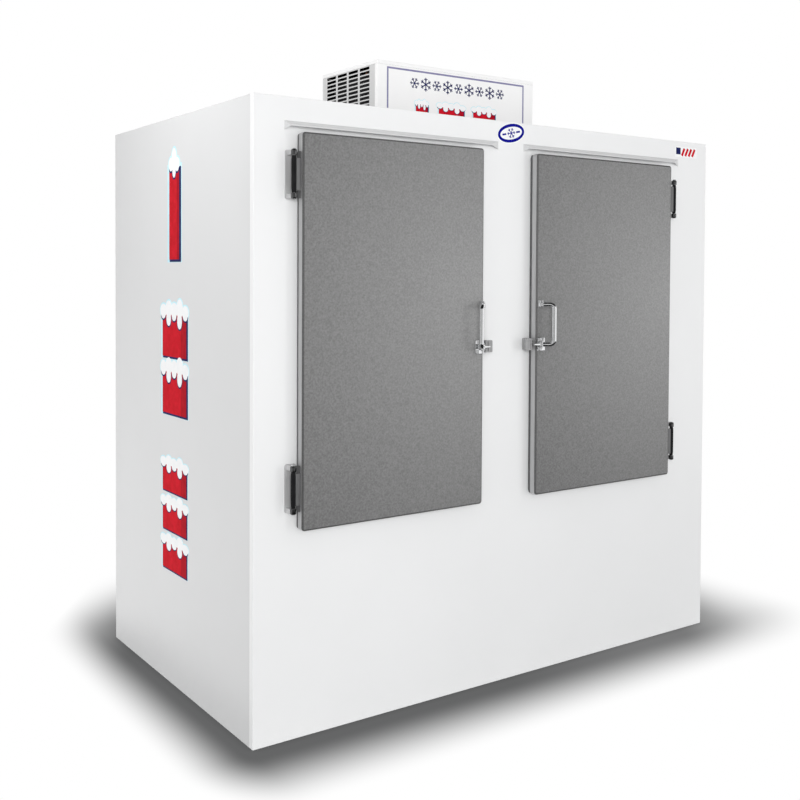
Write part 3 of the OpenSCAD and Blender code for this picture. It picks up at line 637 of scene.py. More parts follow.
def cabinet_sheets():
    shell = folded_shell("cabinet_shell", (-SIDE, FRONT, 0), (SIDE, REAR, ROOF))
    inner_x, inner_y = SIDE - RETURN, REAR - RETURN
    front = sheet_from(shell, "front_sheet", high=(None, -inner_y - SEAM, None))
    cut_openings(front, door_openings())
    rear = sheet_from(shell, "rear_sheet", low=(None, inner_y + SEAM, None))
    left = sheet_from(shell, "left_side_sheet", (None, -inner_y + SEAM, None),
                      (-inner_x - SEAM, inner_y - SEAM, None))
    roof = sheet_from(shell, "roof_sheet", (-inner_x + SEAM, -inner_y + SEAM, ROOF - 0.1),
                      (inner_x - SEAM, inner_y - SEAM, None))
    base = sheet_from(shell, "base_sheet", (-inner_x + SEAM, -inner_y + SEAM, None),
                      (inner_x - SEAM, inner_y - SEAM, 0.1))
    bpy.data.objects.remove(shell)
    for sheet in (front, rear, left, roof, base):
        wall(sheet, SHEET)
    right = mirrored(left, "right_side_sheet")
    dress(front, "cabinet", "cabinet_white", WHITE, "front_panel")
    # The rear, the sides and the base take the darker enamel: painted shade.
    dress(rear, "cabinet", "cabinet_white", PAINTED_SHADE_WHITE, "rear_panel")
    dress(left, "cabinet", "cabinet_white", PAINTED_SHADE_WHITE, "left_side_panel")
    dress(right, "cabinet", "cabinet_white", PAINTED_SHADE_WHITE, "right_side_panel")
    dress(roof, "cabinet", "cabinet_white", WHITE, "roof_panel")
    dress(base, "cabinet", "cabinet_white", PAINTED_SHADE_WHITE, "base_pan")


def opening_trims():
    """The plastic frame of each opening, with its lip over the liner."""
    wall_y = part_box("front_liner")[1].y
    lip = OPENING_LIP
    for side in ("left", "right"):
        low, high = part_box(side + "_opening_frame")
        tube = block("tube", (low.x + lip, low.y, low.z + lip), (high.x - lip, high.y, high.z - lip))
        hollow(tube, 1, 0.003, 0.003)
        flange = block("flange", (low.x, wall_y, low.z), (high.x, high.y, high.z))
        hollow(flange, 1, lip + 0.0025, lip + 0.0025)
        trim = joined(side + "_opening_trim", [tube, flange])
        soften(trim, 0.0007, 2)
        dress(trim, "cabinet", "frame_plastic", TRIM, side + "_opening_frame")


# ---- Drip rails ----

def drip_rails():
    """A sloping sheet with a lip, open below, closed by slanted tabs at its ends."""
    lip_h = 0.0035
    for side in ("left", "right"):
        low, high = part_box(side + "_drip_rail")
        height = high.z - low.z
        lip = low.z + height * 0.36
        rail = block(side + "_rain_rail", low, high)
        pick(rail, "VERT", lambda v: v.y < low.y + 1e-5 and v.z > high.z - 1e-5)
        bpy.ops.transform.translate(value=(0, 0, lip + lip_h - high.z))
        object_mode()
        pick(rail, "VERT", lambda v: v.y < low.y + 1e-5 and v.z < low.z + 1e-5)
        bpy.ops.transform.translate(value=(0, 0, lip - low.z))
        object_mode()
        for x, slant in ((low.x, 0.010), (high.x, -0.040)):
            pick(rail, "VERT", lambda v: v.y < low.y + 1e-5 and abs(v.x - x) < 1e-5)
            bpy.ops.transform.translate(value=(slant, 0, 0))
            object_mode()
        drop_faces(rail, lambda c, n: n.z < -0.3 or n.y > 0.9)
        wall(rail, 0.0014)
        soften(rail, 0.0005, 2)
        # The rail takes the darker enamel: painted shade on its slope.
        dress(rail, "cabinet", "cabinet_white", PAINTED_SHADE_WHITE, side + "_drip_rail")


# ---- Doors ----

CORNER = 0.009
BORDER = 0.0048
RETAINER = 0.009


def door_face():
    """The grained sheet: it covers the whole front and turns back along a narrow border, which is painted
    darker as shade.
    """
    low, high = door_low, door_high
    front, back = FACE_Y, FACE_Y + 0.006
    turned_back = 0.0024
    face = block("left_door_sheet", (low.x, front, low.z), (high.x, back, high.z))
    pick(face, "EDGE", along(1))
    bevel(CORNER, 6)
    pick(face, "FACE", facing(1, -1))
    bpy.ops.mesh.inset(thickness=BORDER, use_even_offset=True)
    object_mode()
    inset = Vector((BORDER - 0.0005, 0, BORDER - 0.0005))
    inner_low, inner_high = low + inset, high - inset

    def on_field(point):
        return inner_low.x < point.x < inner_high.x and inner_low.z < point.z < inner_high.z

    pick(face, "VERT", lambda v: v.y < front + 1e-5 and not on_field(v))
    bpy.ops.transform.translate(value=(0, turned_back, 0))
    object_mode()
    soften(face, 0.0010, 3, 16)
    return face


def second_finish(piece, finish, test):
    """Gives the faces that pass the test a finish of their own."""
    piece.data.materials.append(finish)
    for face in piece.data.polygons:
        if test(face.center, face.normal):
            face.material_index = 1


def paint_border_shade(face, low, high):
    """The border of a door sheet is painted darker: painted shade on its turned-back slope."""
    inset = BORDER * 0.9
    second_finish(face, BORDER_PAINTED_SHADE, lambda c, n: not (low.x + inset < c.x < high.x - inset
                                                      and low.z + inset < c.z < high.z - inset))


def door_channel():
    """The bright edge channel behind the sheet."""
    front, back = FACE_Y + 0.0058, door_high.y - RETAINER
    rim = ring("left_door_channel", (door_low.x, front, door_low.z), (door_high.x, back, door_high.z),
               0.012, 0.018, CORNER)
    soften(rim, 0.0007, 2, 60)
    return rim


def door_retainer():
    """The strip behind the channel, which holds the seal. Its dark grey is partly its own colour and partly
    painted shade of the gap behind the door.
    """
    inset = Vector((0.0014, 0, 0.0014))
    low = Vector((door_low.x, door_high.y - RETAINER - 0.0005, door_low.z)) + inset
    high = door_high - inset
    strip = ring("left_door_retainer", low, high, 0.018, 0.020, CORNER - 0.001)
    edge = 0.004
    pick(strip, "FACE", lambda c, n: abs(n.y) < 0.3
         and (c.x < low.x + edge or c.x > high.x - edge or c.z < low.z + edge or c.z > high.z - edge))
    bpy.ops.mesh.inset(thickness=0.0022, use_even_offset=True)
    bpy.ops.mesh.extrude_region_shrink_fatten(TRANSFORM_OT_shrink_fatten={"value": -0.0012})
    object_mode()
    soften(strip, 0.0004, 2, 60)
    return strip


def door_gasket():
    """A rubber seal with a bellows groove along its sides."""
    low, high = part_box("left_door_seal")
    seal = ring("left_door_gasket", low, high, 0.0158, 0.0158, 0.010)
    pick(seal, "FACE", lambda c, n: abs(n.y) < 0.3)
    bpy.ops.mesh.inset(thickness=0.0012, use_even_offset=True)
    bpy.ops.mesh.extrude_region_shrink_fatten(TRANSFORM_OT_shrink_fatten={"value": -0.0014})
    object_mode()
    soften(seal, 0.0003, 2)
    return seal


def door_core():
    """The foam that fills the door, a little inside its skins."""
    margin = Vector((0.003, 0, 0.003))
    low = Vector((door_low.x, FACE_Y + 0.0055, door_low.z)) + margin
    high = Vector((door_high.x, door_high.y - 0.0006, door_high.z)) - margin
    core = block("left_door_core", low, high)
    pick(core, "EDGE", along(1))
    bevel(CORNER, 4)
    soften(core, 0.0008, 2, 60)
    return core


def door_inner_pan():
    """The pressed inner sheet: a raised plug with a shallow panel in it."""
    low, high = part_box("left_door_liner")
    back = door_high.y
    flange, frame_w = 0.024, 0.045
    pan = block("left_door_pan", low, (high.x, back, high.z))
    pick(pan, "FACE", facing(1, 1))
    bpy.ops.mesh.inset(thickness=flange)
    bpy.ops.mesh.extrude_region_move(TRANSFORM_OT_translate={"value": (0, high.y - back, 0)})
    bpy.ops.mesh.inset(thickness=frame_w)
    bpy.ops.mesh.inset(thickness=0.006, depth=-0.004)
    object_mode()
    soften(pan, 0.003, 3)
    return pan


def doors():
    pieces = (
        (door_channel(), "door_edge_metal", EDGE, EDGE, "door_edge", "door_channel"),
        (door_retainer(), "seal_rubber", RETAINER_GREY_AND_SHADE, RETAINER_GREY_AND_SHADE, "door_edge", "door_retainer"),
        (door_face(), "door_face", LEFT_GRAIN_AND_SHEEN, RIGHT_GRAIN_AND_SHEEN, "door_skin", "door_sheet"),
        (door_core(), "foam", FOAM, FOAM, "door_foam", "door_core"),
        (door_gasket(), "seal_rubber", RUBBER, RUBBER, "door_seal", "door_gasket"),
        (door_inner_pan(), "liner_metal", LINER, LINER, "door_liner", "door_pan"),
    )
    for piece, slot, left_finish, right_finish, node, name in pieces:
        twin = to_right_door(piece, "right_" + name)
        dress(piece, "left_door", slot, left_finish, "left_" + node)
        dress(twin, "right_door", slot, right_finish, "right_" + node)
        if slot == "door_face":
            paint_border_shade(piece, door_low, door_high)
            paint_border_shade(twin, *(Vector(v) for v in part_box("right_door_edge")))


# ---- Hinges ----

AXIS_X, AXIS_Y = joint_at["left_door_swing"].xy
HINGE_H = 0.134
KNUCKLE_R = 0.0085
KNUCKLE_H = 0.016
HINGE_INSET = 0.115
HINGE_Z = door_low.z + HINGE_INSET
HINGE_STEP = door_high.z - door_low.z - 2 * HINGE_INSET


def two_levels(piece, name):
    return joined(name, [piece, moved(piece, name + "_upper", z=HINGE_STEP)])


def knuckle(outer, inner):
    """A knuckle, domed at its outer end."""
    low, high = min(outer, inner), max(outer, inner)
    barrel = rod("knuckle", (AXIS_X, AXIS_Y, low), (AXIS_X, AXIS_Y, high), KNUCKLE_R, 32)
    pick(barrel, "EDGE", lambda a, b: abs(a.z - outer) < 1e-5 and abs(b.z - outer) < 1e-5)
    bevel(0.0048, 6)
    pick(barrel, "EDGE", lambda a, b: abs(a.z - inner) < 1e-5 and abs(b.z - inner) < 1e-5)
    bevel(0.0014, 3)
    return barrel


def knuckle_web(outer, inner):
    """The rib that carries a knuckle; it widens towards the plate."""
    low, high = min(outer, inner) + 0.0015, max(outer, inner) - 0.0015
    web = block("web", (AXIS_X - 0.0055, AXIS_Y + 0.003, low), (AXIS_X + 0.0055, FRONT - 0.0022, high))
    pick(web, "VERT", lambda v: v.y > FRONT - 0.004)
    bpy.ops.transform.resize(value=(1.6, 1, 1.15), center_override=(AXIS_X, FRONT, (outer + inner) / 2))
    object_mode()
    soften(web, 0.0018, 3)
    return web


def hinge_leaf():
    """The plate on the cabinet with its ribs, and the knuckles at both ends."""
    half = HINGE_H / 2
    outer_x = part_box("left_hinge_plates")[0].x
    plate = block("plate", (outer_x, FRONT - 0.003, HINGE_Z - half),
                  (door_low.x - 0.001, FRONT, HINGE_Z + half))
    pick(plate, "EDGE", along(1))
    bevel(0.0062, 5)
    soften(plate, 0.0009, 3, 60)
    ends = [(HINGE_Z + sign * half, HINGE_Z + sign * (half - KNUCKLE_H)) for sign in (-1, 1)]
    plates = joined("left_hinge_leaves", [plate] + [knuckle_web(*end) for end in ends])
    knuckles = joined("left_hinge_knuckles", [knuckle(*end) for end in ends])
    return two_levels(plates, "left_hinge_leaves"), two_levels(knuckles, "left_hinge_knuckles")


def hinge_strap():
    """The strap on the door's edge, with its web to the sleeve."""
    leaf_half, web_half = 0.064, 0.0445
    strap = block("strap", (door_low.x - 0.0025, FACE_Y + 0.0088, HINGE_Z - leaf_half),
                  (door_low.x, FACE_Y + 0.0316, HINGE_Z + leaf_half))
    pick(strap, "EDGE", along(0))
    bevel(0.007, 5)
    soften(strap, 0.0007, 2, 60)
    web = block("strap_web", (AXIS_X + 0.006, AXIS_Y - 0.0035, HINGE_Z - web_half),
                (door_low.x - 0.002, AXIS_Y + 0.0045, HINGE_Z + web_half))
    pick(web, "VERT", lambda v: v.x > door_low.x - 0.003)
    bpy.ops.transform.translate(value=(0, 0.003, 0))
    object_mode()
    soften(web, 0.0014, 3)
    return two_levels(joined("left_hinge_arms", [strap, web]), "left_hinge_arms")


def hinge_sleeve():
    """The black sleeve between the knuckles, drawn in at its ends."""
    half = HINGE_H / 2 - KNUCKLE_H - 0.0005
    sleeve = rod("left_hinge_barrels", (AXIS_X, AXIS_Y, HINGE_Z - half), (AXIS_X, AXIS_Y, HINGE_Z + half),
                 0.0070)
    for sign in (-1, 1):
        end = (AXIS_X, AXIS_Y, HINGE_Z + sign * half)
        cut(sleeve, (0, 0, HINGE_Z + sign * (half - 0.012)), (0, 0, 1), keep=True)
        pick(sleeve, "VERT", lambda v: abs(v.z - HINGE_Z - sign * half) < 1e-5)
        bpy.ops.transform.resize(value=(0.8, 0.8, 1), center_override=end)
        object_mode()
    soften(sleeve, 0.0012, 3, 60)
    return two_levels(sleeve, "left_hinge_barrels")


def hinge_pin():
    half = HINGE_H / 2
    shank = rod("shank", (AXIS_X, AXIS_Y, HINGE_Z - half), (AXIS_X, AXIS_Y, HINGE_Z + half), 0.004, 24)
    top = HINGE_Z + half
    head = rod("head", (AXIS_X, AXIS_Y, top), (AXIS_X, AXIS_Y, top + 0.002), 0.0055, 28)
    pick(head, "EDGE", lambda a, b: min(a.z, b.z) > HINGE_Z + half + 0.0019)
    bevel(0.0014, 4)
    return two_levels(joined("left_hinge_pins", [shank, head]), "left_hinge_pins")


def hinges():
    pin = hinge_pin()
    all_pins = joined("hinge_pin_set", [pin, to_right_door(pin, "right_hinge_pins")])
    dress(all_pins, "cabinet", "hinge_chrome", CHROME, "hinge_pins")
    plates, knuckles = hinge_leaf()
    sets = (
        (plates, "cabinet", "cabinet", "hinge_chrome", STEEL, "hinge_plates", "hinge_leaves"),
        (knuckles, "cabinet", "cabinet", "hinge_chrome", CHROME_PAINTED_DARK, "hinge_plates", "hinge_knuckles"),
        (hinge_strap(), "left_door", "right_door", "hinge_chrome", DARK_STEEL, "hinge_straps", "hinge_arms"),
        (hinge_sleeve(), "left_door", "right_door", "black_plastic", BLACK, "hinge_sleeves",
         "hinge_barrels"),
    )
    for piece, left_body, right_body, slot, finish, node, name in sets:
        twin = to_right_door(piece, "right_" + name)
        dress(piece, left_body, slot, finish, "left_" + node)
        dress(twin, right_body, slot, finish, "right_" + node)


# ---- Latch, handle and strike ----

PIVOT = joint_at["left_handle_pull"]
GRIP_H = 0.127
REACH = 0.0402
BEND = 0.014
BAR = 0.0076
HUB_R = 0.0085


def bent_grip():
    """A round bar bent to a D: straight out of the door, up along the grip and back."""
    out = Vector((-math.cos(math.radians(45)), -math.sin(math.radians(45)), 0))
    across = UP.cross(out)
    leg = REACH - BEND
    deselect()
    turn = UP.rotation_difference(out).to_euler()
    bpy.ops.mesh.primitive_circle_add(vertices=24, radius=BAR, fill_type="NGON", location=PIVOT,
                                      rotation=turn)
    bar = named("grip")
    only(bar)
    bpy.ops.object.mode_set(mode="EDIT")
    bpy.ops.mesh.select_all(action="SELECT")
    first = PIVOT + out * leg + UP * BEND
    second = PIVOT + out * leg + UP * (GRIP_H - BEND)
    for run, centre in ((out * leg, first), (UP * (GRIP_H - 2 * BEND), second)):
        bpy.ops.mesh.extrude_region_move(TRANSFORM_OT_translate={"value": run})
        bpy.ops.mesh.spin(steps=10, angle=math.radians(90), center=centre, axis=across)
    bpy.ops.mesh.extrude_region_move(TRANSFORM_OT_translate={"value": -out * leg})
    object_mode()
    outwards(bar)
    return bar


def handle():
    hub = rod("hub", PIVOT - UP * 0.0078, PIVOT + UP * 0.0078, HUB_R, 28)
    soften(hub, 0.0012, 3, 60)
    top = PIVOT + UP * GRIP_H
    cap = rod("cap", top - UP * 0.008, top + UP * 0.008, HUB_R, 28)
    soften(cap, 0.0022, 3, 60)
    tongue = block("tongue", PIVOT + Vector((0, -0.004, -0.004)), PIVOT + Vector((0.031, 0.004, 0.004)))
    pick(tongue, "VERT", lambda v: v.x > PIVOT.x + 0.030)
    bpy.ops.transform.resize(value=(1, 0.62, 0.62), center_override=PIVOT + Vector((0.031, 0, 0)))
    object_mode()
    soften(tongue, 0.0012, 3)
    return joined("left_pull", [bent_grip(), hub, cap, tongue])


def latch_block(x0, x1, front, z0, z1, corner):
    """A rounded block that stands on the door's face."""
    part = block("latch_block", (x0, front, z0), (x1, FACE_Y - 0.002, z1))
    pick(part, "EDGE", lambda a, b: along(2)(a, b) and a.y < front + 1e-4)
    bevel(corner, 6)
    soften(part, 0.0010, 3, 60)
    return part


def latch():
    """The foot on the door, a block above and below the lever, and the eye of the upper leg."""
    edge_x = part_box("left_latch_body")[1].x
    half, gap = 0.021, 0.0086
    ear, ear_front, ear_corner = 0.0060, PIVOT.y - 0.0060, 0.0055
    upper = PIVOT.z + GRIP_H
    foot = block("foot", (edge_x - 0.032, FACE_Y - 0.0042, PIVOT.z - half), (edge_x, FACE_Y, PIVOT.z + half))
    pick(foot, "EDGE", along(1))
    bevel(0.004, 5)
    soften(foot, 0.0009, 3, 60)
    blocks = []
    for side, back_x in ((-1, 0.031), (1, 0.028)):
        near, far = sorted((PIVOT.z + side * gap, PIVOT.z + side * (half - 0.001)))
        blocks.append(latch_block(edge_x - back_x, edge_x, FACE_Y - 0.011, near, far, 0.0085))
        near, far = sorted((PIVOT.z + side * gap, PIVOT.z + side * (gap + 0.004)))
        blocks.append(latch_block(PIVOT.x - 0.0058, PIVOT.x + 0.0058, ear_front, near, far, ear_corner))
    blocks.append(latch_block(PIVOT.x - ear, PIVOT.x + ear, ear_front, upper + 0.0085, upper + 0.0125,
                              ear_corner))
    pad = block("pad", (PIVOT.x - ear, FACE_Y - 0.003, upper - 0.009),
                (PIVOT.x + ear, FACE_Y, upper + 0.0125))
    soften(pad, 0.001, 2)
    pin = rod("pin", PIVOT - UP * half, PIVOT + UP * half, 0.003, 20)
    soften(pin, 0.0005, 2)
    stub = rod("stub", (PIVOT.x, PIVOT.y, upper - 0.0085), (PIVOT.x, PIVOT.y, upper + 0.009), 0.003, 20)
    return joined("left_latch", [foot, pad, pin, stub] + blocks)


def strike():
    """A narrow foot on the cabinet carries a post between two ears and a wide front plate."""
    low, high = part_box("left_strike")
    ear, post_r, front_t = 0.0035, 0.0045, 0.009
    neck = low.x + 0.014
    foot = block("foot", (low.x, FRONT - 0.003, low.z), (neck, FRONT, high.z))
    pick(foot, "EDGE", along(1))
    bevel(0.0025, 4)
    soften(foot, 0.0007, 2, 60)
    rib = block("rib", (low.x + 0.010, low.y + front_t / 2, low.z + ear),
                (neck, FRONT - 0.002, high.z - ear))
    soften(rib, 0.0008, 2)
    face = block("face", (low.x + 0.0125, low.y, low.z), (high.x, low.y + front_t, high.z))
    pick(face, "EDGE", lambda a, b: along(1)(a, b) and a.x > high.x - 1e-4)
    bevel(0.003, 5)
    soften(face, 0.0011, 3, 60)
    parts = [foot, rib, face]
    for z0, z1 in ((low.z, low.z + ear), (high.z - ear, high.z)):
        lug = block("lug", (low.x, low.y, z0), (neck, FRONT - 0.002, z1))
        pick(lug, "EDGE", lambda a, b: along(2)(a, b) and a.y < low.y + 1e-4 and a.x < low.x + 1e-4)
        bevel(0.004, 5)
        soften(lug, 0.0005, 2, 60)
        parts.append(lug)
    post_x, post_y = low.x + 0.006, low.y + post_r
    parts.append(rod("post", (post_x, post_y, low.z + 0.003), (post_x, post_y, high.z - 0.003), post_r, 24))
    middle = (low.z + high.z) / 2
    bolt_y = low.y + front_t + 0.003
    bolt = rod("bolt", (neck - 0.001, bolt_y, middle), (high.x, bolt_y, middle), 0.0045, 6)
    soften(bolt, 0.0006, 2)
    parts.append(bolt)
    sunk = 0.0006
    spots = [(high.x - 0.0075, low.y + sunk, middle + side * 0.010) for side in (-1, 1)]
    parts.append(screws("strike_screws", spots))
    return joined("left_keeper", parts)


def closing_parts():
    sets = (
        (handle(), "left_handle", "right_handle", CHROME, "handle", "pull"),
        (latch(), "left_door", "right_door", CHROME, "latch_body", "latch"),
        (strike(), "cabinet", "cabinet", KEEPER, "strike", "keeper"),
    )
    for piece, left_body, right_body, finish, node, name in sets:
        twin = to_right_door(piece, "right_" + name)
        dress(piece, left_body, "hinge_chrome", finish, "left_" + node)
        dress(twin, right_body, "hinge_chrome", finish, "right_" + node)


# ---- Roof hood ----

SLOT_ROWS = 13
SLOT_COLUMNS = 4


def louvre_slots(sheet):
    """Cuts the columns of slots into a side of the hood and folds their edges in."""
    slot_l, slot_h, pitch, column = 0.057, 0.0094, 0.0136, 0.0685
    middle = (HOOD_LOW.y + HOOD_HIGH.y) / 2 + 0.006
    columns = [middle + (c - (SLOT_COLUMNS - 1) / 2) * column for c in range(SLOT_COLUMNS)]
    rows = [HOOD_HIGH.z - 0.0252 - r * pitch for r in range(SLOT_ROWS)]
    for y in columns:
        for edge in (y - slot_l / 2, y + slot_l / 2):
            cut(sheet, (0, edge, 0), (0, 1, 0), keep=True)
    for z in rows:
        for edge in (z, z + slot_h):
            cut(sheet, (0, 0, edge), (0, 0, 1), keep=True)

    def in_slot(c, n):
        return (any(abs(c.y - y) < slot_l / 2 for y in columns) and any(z < c.z < z + slot_h for z in rows)
                and abs(n.x) > 0.9)

    pick(sheet, "FACE", in_slot)
    bpy.ops.mesh.extrude_region_move(TRANSFORM_OT_translate={"value": (0.0018, 0, 0)})
    bpy.ops.mesh.delete(type="FACE")
    object_mode()


def hood_sheets():
    low, high = Vector((HOOD_LOW.x, HOOD_LOW.y, ROOF)), Vector(HOOD_HIGH)
    shell = folded_shell("hood_shell", low, high, 0.0024, 3)
    edge = 0.012
    foot, top_seam = ROOF + 0.003, high.z - edge - SEAM
    front = sheet_from(shell, "hood_front_sheet", (None, None, foot), (None, low.y + edge - SEAM, top_seam))
    rear = sheet_from(shell, "hood_rear_sheet", (None, high.y - edge + SEAM, foot), (None, None, top_seam))
    left = sheet_from(shell, "hood_left_sheet", (None, low.y + edge + SEAM, foot),
                      (low.x + edge - SEAM, high.y - edge - SEAM, top_seam))
    top = sheet_from(shell, "hood_lid", (None, None, high.z - edge + SEAM))
    bpy.data.objects.remove(shell)
    louvre_slots(left)
    for sheet in (front, rear, left, top):
        wall(sheet, SHEET)
    right = mirrored(left, "hood_right_sheet")
    # Painted light and shade: the front and lid take a lighter enamel, the sides a darker one, both darker
    # towards the roof; the rear takes the darker side enamel.
    dress(front, "cabinet", "cabinet_white", HOOD_PAINTED_LIGHT, "hood_front")
    dress(rear, "cabinet", "cabinet_white", PAINTED_SHADE_WHITE, "hood_rear")
    dress(left, "cabinet", "cabinet_white", HOOD_SIDE_PAINTED_SHADE, "hood_left_louvre")
    dress(right, "cabinet", "cabinet_white", HOOD_SIDE_PAINTED_SHADE, "hood_right_louvre")
    dress(top, "cabinet", "cabinet_white", HOOD_PAINTED_LIGHT, "hood_top")
    # The inner faces of the hood's sheets are painted near black: painted shade inside the hood.
    skin = SHEET * 0.7

    def on_inside(c, n):
        within = (low.x + skin < c.x < high.x - skin and low.y + skin < c.y < high.y - skin
                  and c.z < high.z - skin)
        return within and (abs(n.x) > 0.9 or abs(n.y) > 0.9 or n.z < -0.9)

    for sheet in (front, rear, left, right, top):
        second_finish(sheet, HOOD_INSIDE_PAINTED_SHADE, on_inside)


def gland():
    """A hexagon nut and a tapered bush in the hood's rear sheet."""
    low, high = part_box("cord_gland")
    x, z = (low.x + high.x) / 2, (low.z + high.z) / 2
    wall_y = HOOD_HIGH.y
    nut = rod("nut", (x, wall_y, z), (x, wall_y + 0.008, z), 0.012, 6)
    hollow(nut, 1, 0.0052, 0.0052)
    soften(nut, 0.0008, 2)
    bush = rod("bush", (x, low.y, z), (x, high.y, z), 0.008, 32)
    hollow(bush, 1, 0.003, 0.003)
    pick(bush, "VERT", lambda v: v.y > high.y - 1e-4)
    bpy.ops.transform.resize(value=(0.9, 1, 0.9), center_override=(x, high.y, z))
    object_mode()
    soften(bush, 0.0006, 2, 60)
    piece = joined("cord_bush", [nut, bush])
    dress(piece, "cabinet", "black_plastic", DARK, "cord_gland")


def knob():
    """The thermostat's knob, fluted round its rim, with a raised pointer."""
    low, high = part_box("thermostat_knob")
    x = (low.x + high.x) / 2
    z = (low.z + high.z) / 2
    front = low.y + 0.002
    back = front + 0.015
    body = rod("knob_body", (x, front, z), (x, back, z), 0.018, 36)
    pick(body, "FACE", lambda c, n: abs(n.y) < 0.1
         and int(round(math.degrees(math.atan2(c.z - z, c.x - x)) / 10 - 0.5)) % 2 == 0)
    bpy.ops.mesh.inset(thickness=0.0006, use_individual=True)
    bpy.ops.mesh.extrude_faces_move(TRANSFORM_OT_shrink_fatten={"value": -0.001})
    object_mode()
    soften(body, 0.0004, 2, 50)
    pointer = block("pointer", (x - 0.002, low.y, z - 0.014), (x + 0.002, front + 0.001, z + 0.014))
    soften(pointer, 0.0008, 3)
    shaft = rod("shaft", (x, back - 0.001, z), (x, high.y, z), 0.003, 20)
    soften(shaft, 0.0004, 2)
    piece = joined("temperature_knob", [body, pointer, shaft])
    dress(piece, "thermostat_knob", "black_plastic", DARK, "thermostat_knob")


# ---- Printed marks: bars of ice, snow crystals, a border and a badge ----

INK_ORDER = ("pale", "navy", "red", "shade", "snow", "blue", "line")


class Print:
    """Flat shapes in the X-Z plane, seen from -Y, gathered by their ink."""

    def __init__(self, name, plane):
        self.name = name
        self.plane = plane
        self.parts = {ink: [] for ink in INK_ORDER}

    def depth(self, ink, layer):
        """The front and back of a plate: layers lie on each other, and so do plates of one ink."""
        step = LAYER_STEP * (len(self.parts[ink]) % 16)
        return self.plane - LAYER * (layer + 1) - step, self.plane + LAYER

    def shape(self, ink, layer, centre, size, sides, turn=0.0):
        """A plate with this many sides. size gives its half width and half height."""
        front, back = self.depth(ink, layer)
        plate = rod(ink, (0, back, 0), (0, front, 0), 1, sides)
        spin = Matrix.Rotation(math.radians(-turn), 4, "Y")
        scale = Matrix.Diagonal((size[0], 1, size[1], 1))
        plate.data.transform(Matrix.Translation((centre[0], 0, centre[1])) @ spin @ scale)
        self.parts[ink].append(plate)

    def bar(self, ink, layer, centre, size, turn=0.0):
        """A rectangle. size gives its half width and half height."""
        front, back = self.depth(ink, layer)
        plate = block(ink, (-size[0], front, -size[1]), (size[0], back, size[1]))
        spin = Matrix.Rotation(math.radians(-turn), 4, "Y")
        plate.data.transform(Matrix.Translation((centre[0], 0, centre[1])) @ spin)
        self.parts[ink].append(plate)

    def crystal(self, ink, layer, centre, radius, turn=0.0):
        """A six-armed snow crystal: three crossed bars with a pair of barbs on each arm."""
        thick = radius * 0.085
        for k in range(3):
            self.bar(ink, layer, centre, (radius, thick), turn + 60 * k)
        for k in range(6):
            angle = turn + 60 * k
            x = centre[0] + 0.62 * radius * math.cos(math.radians(angle))
            z = centre[1] + 0.62 * radius * math.sin(math.radians(angle))
            for side in (-1, 1):
                lean = math.radians(angle + 55 * side)
                spot = (x + 0.17 * radius * math.cos(lean), z + 0.17 * radius * math.sin(lean))
                self.bar(ink, layer, spot, (radius * 0.18, thick * 0.8), angle + 55 * side)

    def ice_bar(self, centre, size, snow=1.0):
        """A standing bar of ice: red front, dark side, navy edges and a lumpy snow cap of this scale."""
        x, z = centre
        w, h = size
        rim = 0.006 * snow
        self.bar("pale", 0, (x + rim / 2, z - rim / 2), (w + 3 * rim, h + rim))
        self.bar("navy", 1, (x + 1.5 * rim, z - 1.3 * rim), (w + rim, h))
        self.bar("red", 2, (x - w * 0.22, z), (w * 0.78, h))
        self.bar("shade", 2, (x + w * 0.78, z), (w * 0.22, h))
        narrow = w < 0.05 * snow
        lumps = (0.006, 0.034, 0.004) if narrow else (0.006, 0.020, 0.012, 0.026, 0.002)
        drips = (0.004, 0.018, 0.006) if narrow else (0.010, 0.028, 0.014, 0.034, 0.012)
        spread = w * (0.62 if narrow else 0.92)
        round_r = w / (len(lumps) - 1) * (0.95 if narrow else 1.08)
        tip_r = round_r * 0.72
        lump_h, tip_h = min(round_r, 0.024 * snow), min(tip_r, 0.014 * snow)
        for k, (lump, drip) in enumerate(zip(lumps, drips)):
            spot = x + spread * (2 * k / (len(lumps) - 1) - 1)
            rise, fall = lump * snow / 2, drip * snow / 2
            self.shape("pale", 0, (spot, z + h + rise), (round_r + rim, lump_h + rise + rim), 24)
            self.shape("navy", 3, (spot, z + h - 2 * fall - rim), (tip_r + rim / 2, tip_h + fall), 24)
            self.shape("snow", 4, (spot, z + h + rise), (round_r, lump_h + rise), 24)
            self.shape("snow", 4, (spot, z + h - 2 * fall), (tip_r, tip_h + fall), 24)

    def finish(self, turn=0.0):
        """Joins what each ink prints, turns it onto its face and dresses it."""
        inks = {"pale": PALE, "navy": NAVY, "red": RED, "shade": RED_SHADE, "snow": SNOW, "blue": BLUE,
                "line": LINE}
        for ink, parts in self.parts.items():
            if parts:
                piece = joined(self.name + "_" + ink, parts)
                piece.data.transform(Matrix.Rotation(math.radians(turn), 4, "Z"))
                dress(piece, "cabinet", "cabinet_white", inks[ink])


def side_print():
    """Bars of ice up the left side: one tall and narrow, then a stack of two and a stack of three."""
    mark = Print("side_print", -SIDE)
    middle = -0.006
    mark.ice_bar((middle, 1.477), (0.038, 0.146))
    for z in (0.920, 1.098):
        mark.ice_bar((middle, z), (0.092, 0.070), 0.8)
    for z in (0.402, 0.525, 0.648):
        mark.ice_bar((middle, z), (0.092, 0.044), 0.55)
    mark.finish(turn=-90)


